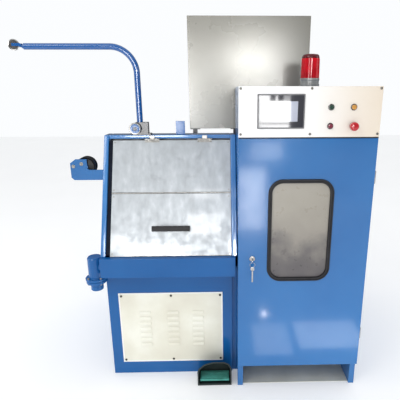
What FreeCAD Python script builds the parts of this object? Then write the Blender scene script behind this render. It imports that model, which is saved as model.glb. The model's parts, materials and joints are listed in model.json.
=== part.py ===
import FreeCAD, Part

import os

import Sketcher

# Fine wire drawing machine. +X runs from the pay-off side to the take-up cabinet, +Y to the rear,
# +Z up. The origin is on the floor, under the middle of the whole machine.

doc = FreeCAD.newDocument("wire_drawing_machine")

DIMENSIONS = {
    # whole machine
    "overall_length": 1800,
    "overall_depth": 1130,
    "stop_proud": 45,
    "hinge_proud": 8,
    "sheet_metal": 3,
    # take-up cabinet
    "cabinet_width": 650,
    "cabinet_depth": 400,
    "cabinet_height": 1599,
    "door_depth": 22,
    "door_bottom": 142,
    "door_top": 1368,
    "leg_width": 27,
    "shelf_height": 1372,
    "control_plate_bottom": 1374,
    # door window
    "window_left": 144,
    "window_bottom": 648,
    "window_width": 317,
    "window_height": 528,
    "window_corner": 70,
    "gasket_width": 20,
    "gasket_proud": 7,
    "pane_thickness": 5,
    "pane_inset": 4,
    # door lock, its keys, and the lift-off hinges
    "lock_left": 70,
    "lock_height": 772,
    "lock_radius": 15,
    "key_reach": 27,
    "key_ring_height": 750,
    "key_bottom": 657,
    "hinge_leaf": 30,
    "hinge_lower": 299,
    "hinge_upper": 1150,
    # controls
    "screen_left": 85,
    "screen_bottom": 1413,
    "screen_width": 214,
    "screen_height": 153,
    "screen_proud": 6,
    "button_left": 419,
    "button_right": 522,
    "button_upper": 1508,
    "button_lower": 1424,
    "button_bezel": 14.5,
    "button_stem": 11,
    "button_depth": 34,
    "mushroom_radius": 20,
    "beacon_x": 342,
    "beacon_y": 122,
    "beacon_radius": 44,
    "beacon_base_height": 37,
    "beacon_height": 145,
    "crown_height": 22,
    # take-up spool
    "spool_height": 760,
    "spool_core": 70,
    "spool_flange": 125,
    "spool_traverse": 150,
    # base and coolant tray
    "base_setback": 144,
    "base_left": 707,
    "base_right": 25,
    "filler_setback": 14,
    "cover_plate_left": 650,
    "cover_plate_bottom": 77,
    "cover_plate_width": 571,
    "cover_plate_height": 437,
    "tray_front": 33,
    "tray_bottom": 659,
    "tray_top": 763,
    "tray_left": 700,
    "tray_right": 12,
    "tray_rim": 27,
    "outlet_left": 743,
    "outlet_setback": 100,
    "outlet_bottom": 567,
    "outlet_top": 755,
    "flange_radius": 55,
    "flange_thickness": 15,
    # drawing chamber, its front leaning back
    "chamber_left": 699,
    "chamber_right": 2,
    "chamber_foot": 56,
    "chamber_top_setback": 310,
    "chamber_top": 1354,
    "post_width": 25,
    "cover_left": 652,
    "cover_right": 31,
    "cover_recess": 6,
    "cover_depth": 14,
    "cover_split": 332,
    "cover_length": 622,
    "rail_height": 20,
    "back_plate": 8,
    "cone_height": 1010,
    "cone_left": 520,
    "cone_right": 200,
    "handle_left": 438,
    "handle_up": 129,
    "handle_length": 195,
    "handle_height": 28,
    "knuckle_radius": 4,
    # rear drive housing
    "housing_height": 1275,
    "housing_depth": 685,
    "hatch_left": 240,
    "hatch_right": 390,
    "hatch_front": 510,
    "hatch_rear": 1066,
    "floor_sheet": 8,
    "bottom_sheet_setback": 14,
    "gearbox_left": 515,
    "gearbox_length": 310,
    "gearbox_depth": 165,
    "gearbox_height": 1232,
    "motor_left": 420,
    "motor_setback": 850,
    "motor_height": 180,
    "motor_radius": 130,
    "motor_length": 360,
    "lid_left": 254,
    "lid_right": 404,
    "lid_setback": 450,
    "lid_bottom": 1374,
    "lid_height": 587,
    "lid_flange": 28,
    "lid_sheet": 2,
    "lid_hinge_height": 1320,
    # wire guides
    "guide_setback": 330,
    "tab_left": 320,
    "tab_width": 48,
    "tab_height": 71,
    "arm_x": 509,
    "arm_foot_height": 1364,
    "arm_height": 1796,
    "arm_bend": 130,
    "arm_radius": 15.5,
    "arm_end": 1066,
    "tip_wheel_x": 1115,
    "tip_wheel_height": 1804,
    "tip_wheel_radius": 27,
    "foot_wheel_x": 531,
    "foot_wheel_height": 1388,
    "foot_wheel_radius": 31,
    "inlet_setback": 235,
    "inlet_plate": 8,
    "inlet_left": 866,
    "inlet_bottom": 1128,
    "inlet_bar": 54,
    "inlet_rise": 110,
    "inlet_head": 86,
    "inlet_axle_radius": 8,
    "inlet_roller_x": 791,
    "inlet_roller_height": 1198,
    "inlet_roller_radius": 50,
    "inlet_roller_width": 44,
    # foot switch
    "pedal_left": 221,
    "pedal_right": 33,
    "pedal_front": 27,
    "pedal_height": 150,
    "pedal_rear_height": 70,
    "pedal_depth": 100,
}

sheet = doc.addObject("Spreadsheet::Sheet", "dims")
for row, (alias, value) in enumerate(DIMENSIONS.items(), start=1):
    sheet.set(f"A{row}", alias)
    sheet.set(f"B{row}", str(value))
    sheet.setAlias(f"B{row}", alias)
doc.recompute()

# Datum of the take-up cabinet: its left side, and the plane of its closed door.
LEFT = "(dims.overall_length / 2 - dims.hinge_proud - dims.cabinet_width)"
FRONT = "(dims.stop_proud - dims.overall_depth / 2)"
CABINET_RIGHT = f"({LEFT} + dims.cabinet_width)"
HOUSING_FRONT = f"({FRONT} + dims.cabinet_depth)"
HOUSING_REAR = "(dims.overall_depth / 2)"
BASE_LEFT = f"({LEFT} - dims.base_left)"
LEAN = ("atan((dims.chamber_top_setback - dims.chamber_foot)"
        " / (dims.chamber_top - dims.tray_top))")

nodes = []


def bind(item, **expressions):
    """Tie properties of an object to expressions over the dimension sheet."""
    for name, expression in expressions.items():
        item.setExpression(name, str(expression))
    return item


def place(item, at, turn=None, axis=None):
    """Put an object at a point given by three expressions, turned about one axis."""
    if axis is not None:
        item.Placement.Rotation = FreeCAD.Rotation(FreeCAD.Vector(*axis), 90)
        item.setExpression("Placement.Rotation.Angle", str(turn))
    for letter, expression in zip("xyz", at):
        item.setExpression(f"Placement.Base.{letter}", str(expression))
    return item


def keep(item, label):
    """Name an object as one of the machine's sub-parts."""
    item.Label = label
    nodes.append(item)
    return item


def block(size, at, **turned):
    item = doc.addObject("Part::Box", "block")
    bind(item, Length=size[0], Width=size[1], Height=size[2])
    return place(item, at, **turned)


def rod(radius, length, at, along="z"):
    item = doc.addObject("Part::Cylinder", "rod")
    bind(item, Radius=radius, Height=length)
    turns = {"x": {"turn": 90, "axis": (0, 1, 0)}, "y": {"turn": 90, "axis": (-1, 0, 0)}, "z": {}}
    return place(item, at, **turns[along])


def fuse(*shapes):
    item = doc.addObject("Part::MultiFuse", "fused")
    item.Shapes = list(shapes)
    return item


def common(*shapes):
    item = doc.addObject("Part::MultiCommon", "common")
    item.Shapes = list(shapes)
    return item


def cut(base, *tools):
    item = doc.addObject("Part::Cut", "cut")
    item.Base = base
    item.Tool = tools[0] if len(tools) == 1 else fuse(*tools)
    return item


def gather(*shapes):
    """Like pieces of one node, which do not touch each other."""
    item = doc.addObject("Part::Compound", "group")
    item.Links = list(shapes)
    return item


def plane_of(body, role):
    return next(part for part in body.Origin.OriginFeatures if part.Role == role)


def measure(expression):
    """The number that an expression over the sheet stands for."""
    return float(FreeCAD.Units.Quantity(sheet.evalExpression(str(expression))).Value)


def draw(sketch, points):
    """Draw a closed, straight-sided outline.

    Each corner is a pair of expressions, both of them positive distances from the sketch's origin.
    """
    count = len(points)
    # a rough outline first, of the real shape, so that the solver starts near its answer
    rough = [FreeCAD.Vector(measure(u), measure(v), 0) for u, v in points]
    for i in range(count):
        sketch.addGeometry(Part.LineSegment(rough[i], rough[(i + 1) % count]), False)
    for i in range(count):
        sketch.addConstraint(Sketcher.Constraint("Coincident", i, 2, (i + 1) % count, 1))
    for i, (u, v) in enumerate(points):
        for kind, expression in (("DistanceX", u), ("DistanceY", v)):
            number = sketch.addConstraint(
                Sketcher.Constraint(kind, -1, 1, i, 1, measure(expression)))
            sketch.setExpression(f"Constraints[{number}]", str(expression))


def outline_pad(points, length, at, role="YZ_Plane"):
    """A plate whose outline is drawn on an origin plane of its own body."""
    body = doc.addObject("PartDesign::Body", "plate")
    sketch = body.newObject("Sketcher::SketchObject", "outline")
    sketch.AttachmentSupport = [(plane_of(body, role), "")]
    sketch.MapMode = "FlatFace"
    draw(sketch, points)
    pad = body.newObject("PartDesign::Pad", "thickness")
    pad.Profile = sketch
    bind(pad, Length=length)
    body.Tip = pad
    return place(body, at)


def swept_back(points, at, run, fall):
    """A solid swept backwards and downwards from an upright outline that faces -Y."""
    sketch = doc.addObject("Sketcher::SketchObject", "outline")
    draw(sketch, points)
    place(sketch, at, turn=90, axis=(1, 0, 0))
    sweep = doc.addObject("Part::Extrusion", "sweep")
    sweep.Base = sketch
    sweep.DirMode = "Custom"
    sweep.Dir = FreeCAD.Vector(0, measure(run), -measure(fall))
    sweep.Solid = True
    sweep.setExpression("Dir.y", str(run))
    sweep.setExpression("Dir.z", f"-({fall})")
    return sweep


def rounded(width, height, corner, depth, at):
    """An upright slab, facing -Y, whose four corners are rounded."""
    x, y, z = at
    flat = block((f"{width} - 2 * {corner}", depth, height), (f"{x} + {corner}", y, z))
    tall = block((width, depth, f"{height} - 2 * {corner}"), (x, y, f"{z} + {corner}"))
    corners = [rod(corner, depth, (u, y, v), "y")
               for u in (f"{x} + {corner}", f"{x} + {width} - {corner}")
               for v in (f"{z} + {corner}", f"{z} + {height} - {corner}")]
    slab = fuse(flat, tall, *corners)
    slab.Refine = True
    return slab


def pulley(radius, width, groove, bore, at):
    """A grooved guide wheel that turns about Y, from its front face backwards."""
    x, y, z = at
    wheel = rod(radius, width, at, "y")
    ring = doc.addObject("Part::Torus", "groove")
    bind(ring, Radius1=f"{radius} + {groove} / 4", Radius2=groove)
    place(ring, (x, f"{y} + {width} / 2", z), turn=90, axis=(1, 0, 0))
    hole = rod(bore, f"{width} + 2", (x, f"{y} - 1", z), "y")
    return cut(wheel, ring, hole)


# ---- take-up cabinet: sheet steel walls round the spooler, with a rebate for the door ----

wall = "dims.sheet_metal"
door_back = "(dims.door_depth + 2)"
clear_front = f"({FRONT} + {door_back})"

side_outline = [
    (door_back, 0),
    ("dims.cabinet_depth", 0),
    ("dims.cabinet_depth", "dims.cabinet_height"),
    (0, "dims.cabinet_height"),
    (0, "dims.shelf_height"),
    (door_back, "dims.shelf_height"),
]
keep(outline_pad(side_outline, wall, (LEFT, FRONT, 0)), "cabinet_left_wall")
keep(outline_pad(side_outline, wall, (f"{CABINET_RIGHT} - {wall}", FRONT, 0)),
     "cabinet_right_wall")

inner_width = f"(dims.cabinet_width - 2 * {wall})"
inner_left = f"({LEFT} + {wall})"
keep(block((inner_width, wall, "dims.cabinet_height"),
           (inner_left, f"{HOUSING_FRONT} - {wall}", 0)), "cabinet_back_wall")
keep(block((inner_width, f"dims.cabinet_depth - {wall}", wall),
           (inner_left, FRONT, f"dims.cabinet_height - {wall}")), "cabinet_roof")
shelf_depth = f"(dims.cabinet_depth - {wall})"
keep(block((inner_width, shelf_depth, wall), (inner_left, FRONT, "dims.shelf_height")),
     "control_bay_floor")

post_depth = 20
post_back = f"({clear_front} + {post_depth})"
keep(block((inner_width, f"{shelf_depth} - {door_back} - {post_depth}", wall),
           (inner_left, post_back, "dims.door_bottom")), "cabinet_floor")
keep(gather(*[block(("dims.leg_width", post_depth, "dims.shelf_height"), (x, clear_front, 0))
              for x in (inner_left, f"{CABINET_RIGHT} - {wall} - dims.leg_width")]),
     "door_posts")
keep(gather(*[block(("dims.leg_width", f"{shelf_depth} - {door_back} - {post_depth}",
                     "dims.door_bottom"), (x, post_back, 0))
              for x in (inner_left, f"{CABINET_RIGHT} - {wall} - dims.leg_width")]),
     "cabinet_sills")
rail_left = f"({inner_left} + dims.leg_width)"
rail_length = f"({inner_width} - 2 * dims.leg_width)"
rail = 25
keep(gather(*[block((rail_length, post_depth, rail), (rail_left, clear_front, z))
              for z in (f"dims.door_bottom + {wall}", f"dims.shelf_height - {rail}")]),
     "door_rails")

# ---- control plate and what is set into it ----

plate_front = f"({FRONT} - {wall})"
plate = block(("dims.cabinet_width", wall, "dims.cabinet_height - dims.control_plate_bottom"),
              (LEFT, plate_front, "dims.control_plate_bottom"))
tool_length = 20
tool_front = f"({plate_front} - {tool_length} / 2)"
screen_rim = 6
screen_x = f"({LEFT} + dims.screen_left)"
screen_hole = block(
    (f"dims.screen_width - 2 * {screen_rim}", tool_length, f"dims.screen_height - 2 * {screen_rim}"),
    (f"{screen_x} + {screen_rim}", tool_front, f"dims.screen_bottom + {screen_rim}"))
controls = {
    "start_button": ("dims.button_left", "dims.button_upper"),
    "reset_button": ("dims.button_right", "dims.button_upper"),
    "stop_button": ("dims.button_left", "dims.button_lower"),
    "emergency_stop": ("dims.button_right", "dims.button_lower"),
}
holes = [rod("dims.button_stem", tool_length, (f"{LEFT} + {x}", tool_front, z), "y")
         for x, z in controls.values()]
keep(cut(plate, screen_hole, *holes), "control_plate")

screen_inset = 6.5
screen_body_depth = 40
keep(fuse(
    block(("dims.screen_width", "dims.screen_proud", "dims.screen_height"),
          (screen_x, f"{plate_front} - dims.screen_proud", "dims.screen_bottom")),
    block((f"dims.screen_width - 2 * {screen_inset}", screen_body_depth,
           f"dims.screen_height - 2 * {screen_inset}"),
          (f"{screen_x} + {screen_inset}", plate_front, f"dims.screen_bottom + {screen_inset}"))),
     "touch_screen")

bezel_proud = 4
cap_proud = 10
mushroom_thickness = 16
hole_play = 0.1
for name, (x, z) in controls.items():
    centre = f"{LEFT} + {x}"
    bezel = rod("dims.button_bezel", bezel_proud, (centre, f"{plate_front} - {bezel_proud}", z), "y")
    stem = rod(f"dims.button_stem - {hole_play}", "dims.button_depth",
               (centre, f"{plate_front} - 1", z), "y")
    if name == "emergency_stop":
        head = rod("dims.mushroom_radius", mushroom_thickness,
                   (centre, f"{FRONT} - dims.stop_proud", z), "y")
        neck = rod("dims.button_stem", f"dims.stop_proud - {wall}",
                   (centre, f"{FRONT} - dims.stop_proud", z), "y")
        keep(fuse(bezel, stem, head, neck), name)
    else:
        cap = rod("dims.button_stem", cap_proud, (centre, f"{plate_front} - {cap_proud}", z), "y")
        keep(fuse(bezel, stem, cap), name)

# ---- warning beacon on the roof ----

beacon_at = (f"{LEFT} + dims.beacon_x", f"{FRONT} + dims.beacon_y")
keep(rod("dims.beacon_radius + 1", "dims.beacon_base_height", (*beacon_at, "dims.cabinet_height")),
     "beacon_base")
dome_bottom = "(dims.cabinet_height + dims.beacon_base_height)"
dome_straight = "(dims.beacon_height - dims.beacon_base_height - dims.crown_height)"
dome_radius = "(dims.beacon_radius - 1)"
crown_draw = 15
crown = doc.addObject("Part::Cone", "crown")
bind(crown, Radius1=dome_radius, Radius2=f"{dome_radius} - {crown_draw}", Height="dims.crown_height")
place(crown, (*beacon_at, f"{dome_bottom} + {dome_straight}"))
keep(fuse(rod(dome_radius, dome_straight, (*beacon_at, dome_bottom)), crown), "beacon_dome")

# ---- door: a folded pan with a rounded window ----

door_height = "(dims.door_top - dims.door_bottom)"
door = block(("dims.cabinet_width", "dims.door_depth", door_height),
             (LEFT, FRONT, "dims.door_bottom"))
door_hollow = block(
    (inner_width, "dims.door_depth", f"{door_height} - 2 * {wall}"),
    (inner_left, f"{FRONT} + {wall}", f"dims.door_bottom + {wall}"))


def window(inset, depth, y):
    """A slab of the window's outline, drawn in by an inset on every side."""
    return rounded(f"(dims.window_width - 2 * {inset})", f"(dims.window_height - 2 * {inset})",
                   f"(dims.window_corner - {inset})", depth,
                   (f"({LEFT} + dims.window_left + {inset})", y,
                    f"(dims.window_bottom + {inset})"))


lip = "dims.gasket_width / 2"
window_lead = 5
keep(cut(door, door_hollow, window(lip, "dims.door_depth", f"{FRONT} - {window_lead}")),
     "cabinet_door")
keep(cut(fuse(window(0, "dims.gasket_proud", f"{FRONT} - dims.gasket_proud"),
              window(lip, wall, FRONT)),
         window("dims.gasket_width", "3 * dims.gasket_proud",
                f"{FRONT} - 1.5 * dims.gasket_proud")), "window_gasket")
keep(window("dims.pane_inset", "dims.pane_thickness", f"{FRONT} + {wall}"), "window_pane")

# a round lock with a key in it, whose ring carries a second, hanging key
lock_x = f"({LEFT} + dims.lock_left)"
key_front = f"({FRONT} - dims.key_reach)"
key_thickness = 3
bow_width = 20
bow_height = 24
blade_width = 8
lock_proud = 8
ring_radius = 13
ring_wire = 1.5
bow_lead = 6
bow_lift = 8
hang = 36
overlap = 1
ring = doc.addObject("Part::Torus", "key_ring")
bind(ring, Radius1=ring_radius, Radius2=ring_wire)
place(ring, (lock_x, key_front, "dims.key_ring_height"), turn=90, axis=(1, 0, 0))
blade_top = f"(dims.key_ring_height - {hang})"
keep(fuse(
    rod("dims.lock_radius", lock_proud, (lock_x, f"{FRONT} - {lock_proud}", "dims.lock_height"), "y"),
    block((key_thickness, f"dims.key_reach - {lock_proud} + {bow_lead} + {overlap}", bow_width),
          (f"{lock_x} - {key_thickness} / 2", f"{key_front} - {bow_lead}",
           f"dims.key_ring_height + {bow_lift}")),
    ring,
    block((bow_width, key_thickness, bow_height),
          (f"{lock_x} - {bow_width} / 2", f"{key_front} - {key_thickness} / 2", blade_top)),
    block((blade_width, key_thickness, f"{blade_top} - dims.key_bottom + {overlap}"),
          (f"{lock_x} - {blade_width} / 2", f"{key_front} - {key_thickness} / 2",
           "dims.key_bottom"))), "door_lock")

# lift-off hinges at the cabinet's right: the lower half fixed, the upper half on the door
hinge_x = f"({CABINET_RIGHT} + dims.hinge_proud / 2)"
hinge_y = f"({FRONT} + dims.door_depth / 2)"
barrel = "dims.hinge_proud / 2"
leaf = "dims.hinge_leaf"
leaf_thickness = 2
leaf_gap = 0.5
pin_radius = 2
pin_play = 0.05
half_gap = 1
pin_rise = 5
pin_over = 20
fixed_leaf = 42
door_leaf = 16
spacer_width = 18
spacer_setback = 8
bore_lead = 6
bore_over = 10
fixed_halves = []
door_halves = []
for bottom in ("dims.hinge_lower", "dims.hinge_upper"):
    upper = f"({bottom} + {leaf} + {half_gap})"
    fixed_halves.append(fuse(
        rod(barrel, leaf, (hinge_x, hinge_y, bottom)),
        rod(pin_radius, f"{leaf} + {pin_over}", (hinge_x, hinge_y, f"{bottom} + {pin_rise}")),
        block((leaf_thickness, fixed_leaf, leaf),
              (f"{CABINET_RIGHT} + {leaf_gap}", hinge_y, bottom)),
        block((leaf_gap, spacer_width, leaf),
              (CABINET_RIGHT, f"{clear_front} + {spacer_setback}", bottom))))
    door_halves.append(cut(
        fuse(rod(barrel, leaf, (hinge_x, hinge_y, upper)),
             block((leaf_thickness, door_leaf, leaf), (CABINET_RIGHT, f"{FRONT} + {wall}", upper))),
        rod(f"{pin_radius} + {pin_play}", f"{leaf} + {bore_over}",
            (hinge_x, hinge_y, f"{upper} - {bore_lead}"))))
keep(gather(*fixed_halves), "door_hinge_pins")
keep(gather(*door_halves), "door_hinge_sleeves")

# ---- take-up spool on its spindle ----

spool_x = f"({LEFT} + dims.cabinet_width / 2)"
spool_z = "dims.spool_height"
spindle_radius = 25
spindle_length = 300
flange = 10
spool_setback = 100
spindle_back = f"({HOUSING_FRONT} - {wall})"
spool_back = f"({spindle_back} - {spool_setback})"
keep(fuse(
    rod(spindle_radius, spindle_length, (spool_x, f"{spindle_back} - {spindle_length}", spool_z), "y"),
    rod("dims.spool_core", "dims.spool_traverse",
        (spool_x, f"{spool_back} - dims.spool_traverse", spool_z), "y"),
    *[rod("dims.spool_flange", flange, (spool_x, f"{spool_back} - {behind} - {flange}", spool_z), "y")
      for behind in ("dims.spool_traverse", 0)]), "take_up_spool")

# ---- base under the drawing chamber ----

base_front = f"({FRONT} + dims.base_setback)"
base_width = "(dims.base_left - dims.base_right)"
keep(block((base_width, wall, "dims.tray_bottom"), (BASE_LEFT, base_front, 0)),
     "base_front_wall")
base_depth = f"(dims.cabinet_depth - dims.base_setback - {wall})"
base_left_side, base_right_side = [
    block((wall, base_depth, "dims.tray_bottom"), (x, f"{base_front} + {wall}", 0))
    for x in (BASE_LEFT, f"{LEFT} - dims.base_right - {wall}")]
gap_filler = block(("dims.base_right", wall, "dims.tray_bottom"),
                   (f"{LEFT} - dims.base_right", f"{base_front} + dims.filler_setback", 0))
keep(gather(base_left_side, fuse(base_right_side, gap_filler)), "base_side_walls")
keep(block(("dims.cover_plate_width", wall, "dims.cover_plate_height"),
           (f"{LEFT} - dims.cover_plate_left", f"{base_front} - {wall}",
            "dims.cover_plate_bottom")), "base_cover_plate")

tray_width = "(dims.tray_left - dims.tray_right)"
tray_depth = "(dims.cabinet_depth - dims.tray_front)"
tray = block((tray_width, tray_depth, "dims.tray_top - dims.tray_bottom"),
             (f"{LEFT} - dims.tray_left", f"{FRONT} + dims.tray_front", "dims.tray_bottom"))
tray_hollow = block((f"{tray_width} - 2 * {wall}", f"{tray_depth} - dims.tray_rim - {wall}",
                     "dims.tray_top - dims.tray_bottom"),
                    (f"{LEFT} - dims.tray_left + {wall}", f"{FRONT} + dims.tray_front + dims.tray_rim",
                     f"dims.tray_bottom + {wall}"))
keep(cut(tray, tray_hollow), "coolant_tray")

# outlet pot on a short branch from the tray, with a bolted flange pair below
outlet_at = (f"({LEFT} - dims.outlet_left)", f"({FRONT} + dims.outlet_setback)")
pot_radius = 38
branch_radius = 30
drain_radius = 32
drain_length = 41
branch_rise = 41
flange_step = 3
lower_flange = f"(dims.outlet_bottom + {drain_length})"
upper_flange = f"({lower_flange} + dims.flange_thickness)"
keep(fuse(
    rod(pot_radius, f"dims.outlet_top - {upper_flange}", (*outlet_at, upper_flange)),
    rod(branch_radius, "dims.outlet_left - dims.tray_left",
        (*outlet_at, f"dims.tray_bottom + {branch_rise}"), "x"),
    rod("dims.flange_radius", "dims.flange_thickness", (*outlet_at, upper_flange)),
    rod(f"dims.flange_radius - {flange_step}", "dims.flange_thickness", (*outlet_at, lower_flange)),
    rod(drain_radius, drain_length, (*outlet_at, "dims.outlet_bottom"))), "coolant_outlet")

# ---- drawing chamber: side walls whose front edges lean back, closed by two covers ----

chamber_rise = "(dims.chamber_top - dims.tray_top)"
chamber_run = "(dims.chamber_top_setback - dims.chamber_foot)"
chamber_depth = "(dims.cabinet_depth - dims.chamber_foot)"
chamber_side = [
    (0, 0),
    (chamber_depth, 0),
    (chamber_depth, chamber_rise),
    (chamber_run, chamber_rise),
]
chamber_y = f"({FRONT} + dims.chamber_foot)"
post = "dims.post_width"
cover_gap = 1
keep(outline_pad(chamber_side, post, (f"{LEFT} - dims.chamber_left", chamber_y, "dims.tray_top")),
     "chamber_left_wall")
keep(outline_pad(chamber_side, f"dims.cover_right - dims.chamber_right - {cover_gap}",
                 (f"{LEFT} - dims.cover_right + {cover_gap}", chamber_y, "dims.tray_top")),
     "chamber_right_wall")
span_left = f"({LEFT} - dims.chamber_left + {post})"
span = f"(dims.chamber_left - {post} - dims.cover_right + {cover_gap})"
keep(block((span, "dims.cabinet_depth - dims.chamber_top_setback", "dims.rail_height"),
           (span_left, f"{FRONT} + dims.chamber_top_setback",
            "dims.chamber_top - dims.rail_height")), "chamber_top_rail")
keep(block((span, "dims.back_plate", f"{chamber_rise} - dims.rail_height"),
           (span_left, f"{HOUSING_FRONT} - dims.back_plate", "dims.tray_top")), "chamber_back_plate")

# two stepped drawing cones on the back plate, each on a short hub
step_radii = (110, 98, 86, 74, 62)
step = 24
hub_radius = 28
hub_show = 20
cones = []
for x in ("dims.cone_left", "dims.cone_right"):
    cone_x = f"({LEFT} - {x})"
    cone_back = f"({HOUSING_FRONT} - dims.back_plate)"
    hub = rod(hub_radius, step, (cone_x, f"{cone_back} - {step}", "dims.cone_height"), "y")
    steps = [rod(radius, step, (cone_x, f"{cone_back} - {hub_show} - {(place_in_row + 1) * step}",
                                "dims.cone_height"), "y")
             for place_in_row, radius in enumerate(step_radii)]
    cones.append(fuse(hub, *steps))
keep(gather(*cones), "drawing_cones")


def on_front(x, up, behind):
    """A point of the chamber's leaning front: up along it from its foot, and behind it."""
    return (f"{LEFT} - {x}",
            f"{chamber_y} + ({up}) * sin({LEAN}) + ({behind}) * cos({LEAN})",
            f"dims.tray_top + ({up}) * cos({LEAN}) - ({behind}) * sin({LEAN})")


def leaning(size, at):
    return block(size, on_front(*at), turn=f"-{LEAN}", axis=(1, 0, 0))


seal_thickness = 8
seal_behind = 12
seal_up = 10
seal_short = 16
keep(leaning((f"dims.chamber_left - {post} - dims.cover_left - {cover_gap}", seal_thickness,
              f"dims.cover_length - {seal_short}"),
             (f"(dims.chamber_left - {post})", seal_up, seal_behind)), "cover_seal")

cover_width = "(dims.cover_left - dims.cover_right)"
recess = "dims.cover_recess"
cover_sheet = 2
fold_gap = 4
top_gap = 6


def cover_pan(low, high):
    """A folded stainless pan, open towards the chamber."""
    outer = leaning((cover_width, "dims.cover_depth", f"({high}) - ({low})"),
                    ("dims.cover_left", low, recess))
    inner = leaning((f"{cover_width} - 2 * {cover_sheet}", "dims.cover_depth",
                     f"({high}) - ({low}) - 2 * {cover_sheet}"),
                    (f"(dims.cover_left - {cover_sheet})", f"({low}) + {cover_sheet}",
                     f"{recess} + {cover_sheet}"))
    return cut(outer, inner)


cover_top = f"(dims.cover_length - {top_gap})"
keep(cover_pan(fold_gap, f"dims.cover_split - {fold_gap}"), "lower_cover")
keep(cover_pan(f"dims.cover_split + {fold_gap}", cover_top), "upper_cover")

# a flat bar handle on two feet
bar_reach = 30
bar_thickness = 12
foot = 20
foot_inset = 6
foot_up = f"(dims.handle_up + (dims.handle_height - {foot}) / 2)"
foot_behind = f"({recess} - {foot})"
keep(fuse(
    leaning(("dims.handle_length", bar_thickness, "dims.handle_height"),
            ("dims.handle_left", "dims.handle_up", f"{recess} - {bar_reach}")),
    leaning((foot, foot, foot), (f"(dims.handle_left - {foot_inset})", foot_up, foot_behind)),
    leaning((foot, foot, foot),
            (f"(dims.handle_left - dims.handle_length + {foot_inset} + {foot})", foot_up,
             foot_behind))), "cover_handle")

# knuckles of the two top hinges: the middle one fixed to the rail, the outer two on the cover;
# the fold's own hinge is one long rod at the covers' face
pivot_drop = 2
pivot_up = f"(dims.cover_length - {pivot_drop})"
pivot_in = 1
fold_radius = 3
knuckle = "dims.knuckle_radius"
outer_knuckle = 24
middle_knuckle = 26
knuckle_gap = 1
far_knuckle = outer_knuckle + middle_knuckle + 2 * knuckle_gap
leaf_length = far_knuckle + outer_knuckle
leaf_height = 12
lug_depth = 8
lug_height = 17
strap = 6
hinge_places = (484, 205)
fixed_knuckles = []
moving_knuckles = [rod(fold_radius, cover_width,
                       on_front("dims.cover_left", "dims.cover_split", recess), "x")]
for x in hinge_places:
    middle_x = x - outer_knuckle - knuckle_gap
    fixed_knuckles.append(fuse(
        rod(knuckle, middle_knuckle, on_front(middle_x, pivot_up, pivot_in), "x"),
        block((middle_knuckle, lug_depth, lug_height),
              (f"{LEFT} - {middle_x}", f"{FRONT} + dims.chamber_top_setback - {lug_depth}",
               "dims.chamber_top - dims.rail_height"))))
    moving_knuckles.append(fuse(
        leaning((leaf_length, cover_sheet, leaf_height),
                (x, f"{cover_top} - {leaf_height}", f"{recess} - {cover_sheet}")),
        *[rod(knuckle, outer_knuckle, on_front(at, pivot_up, pivot_in), "x")
          for at in (x, x - far_knuckle)],
        *[leaning((outer_knuckle, recess, strap), (at, cover_top, pivot_in))
          for at in (x, x - far_knuckle)]))
keep(gather(*fixed_knuckles), "cover_hinges")
keep(gather(*moving_knuckles), "cover_knuckles")

# ---- wire guides over and beside the chamber ----

guide_y = f"({FRONT} + dims.guide_setback)"
tab_thickness = 6
keep(block(("dims.tab_width", tab_thickness, "dims.tab_height"),
           (f"{LEFT} - dims.tab_left", f"{guide_y} - {tab_thickness} / 2", "dims.chamber_top")),
     "stop_tab")

# the foot block clamps the arm's pipe and carries the foot wheel on a stub in front of it
arm_x = f"({LEFT} - dims.arm_x)"
foot_x = f"({LEFT} - dims.foot_wheel_x)"
foot_z = "dims.foot_wheel_height"
foot_depth = 38
foot_block = (65, foot_depth, 66)
foot_place = 530
foot_left = f"({LEFT} - {foot_place})"
foot_bore_over = 34
clamp_play = 0.1
stub_radius = 5
stub_length = 24
stub_reach = 21
stub_front = f"({guide_y} - {foot_depth} / 2 - {stub_reach})"
washer_radius = 9
washer = 3
bolt_head = (14, 44, 8)
keep(fuse(
    cut(block(foot_block, (foot_left, f"{guide_y} - {foot_depth} / 2", "dims.chamber_top")),
        rod(f"dims.arm_radius + {clamp_play}", foot_block[2] + foot_bore_over,
            (arm_x, guide_y, "dims.arm_foot_height"))),
    block(bolt_head, (f"{foot_left} + {foot_block[0]}", f"{guide_y} - {bolt_head[1]} / 2",
                      "dims.chamber_top")),
    rod(stub_radius, stub_length, (foot_x, stub_front, foot_z), "y"),
    rod(washer_radius, washer, (foot_x, f"{stub_front} - {washer}", foot_z), "y")),
    "arm_foot_bracket")

bend = doc.addObject("Part::Torus", "bend")
bind(bend, Radius1="dims.arm_bend", Radius2="dims.arm_radius", Angle3=90)
place(bend, (f"{arm_x} - dims.arm_bend", guide_y, "dims.arm_height - dims.arm_bend"),
      turn=90, axis=(1, 0, 0))
keep(fuse(
    rod("dims.arm_radius", "dims.arm_height - dims.arm_bend - dims.arm_foot_height",
        (arm_x, guide_y, "dims.arm_foot_height")),
    bend,
    rod("dims.arm_radius", "dims.arm_end - dims.arm_x - dims.arm_bend",
        (f"{LEFT} - dims.arm_end", guide_y, "dims.arm_height"), "x")), "guide_arm")

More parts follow.
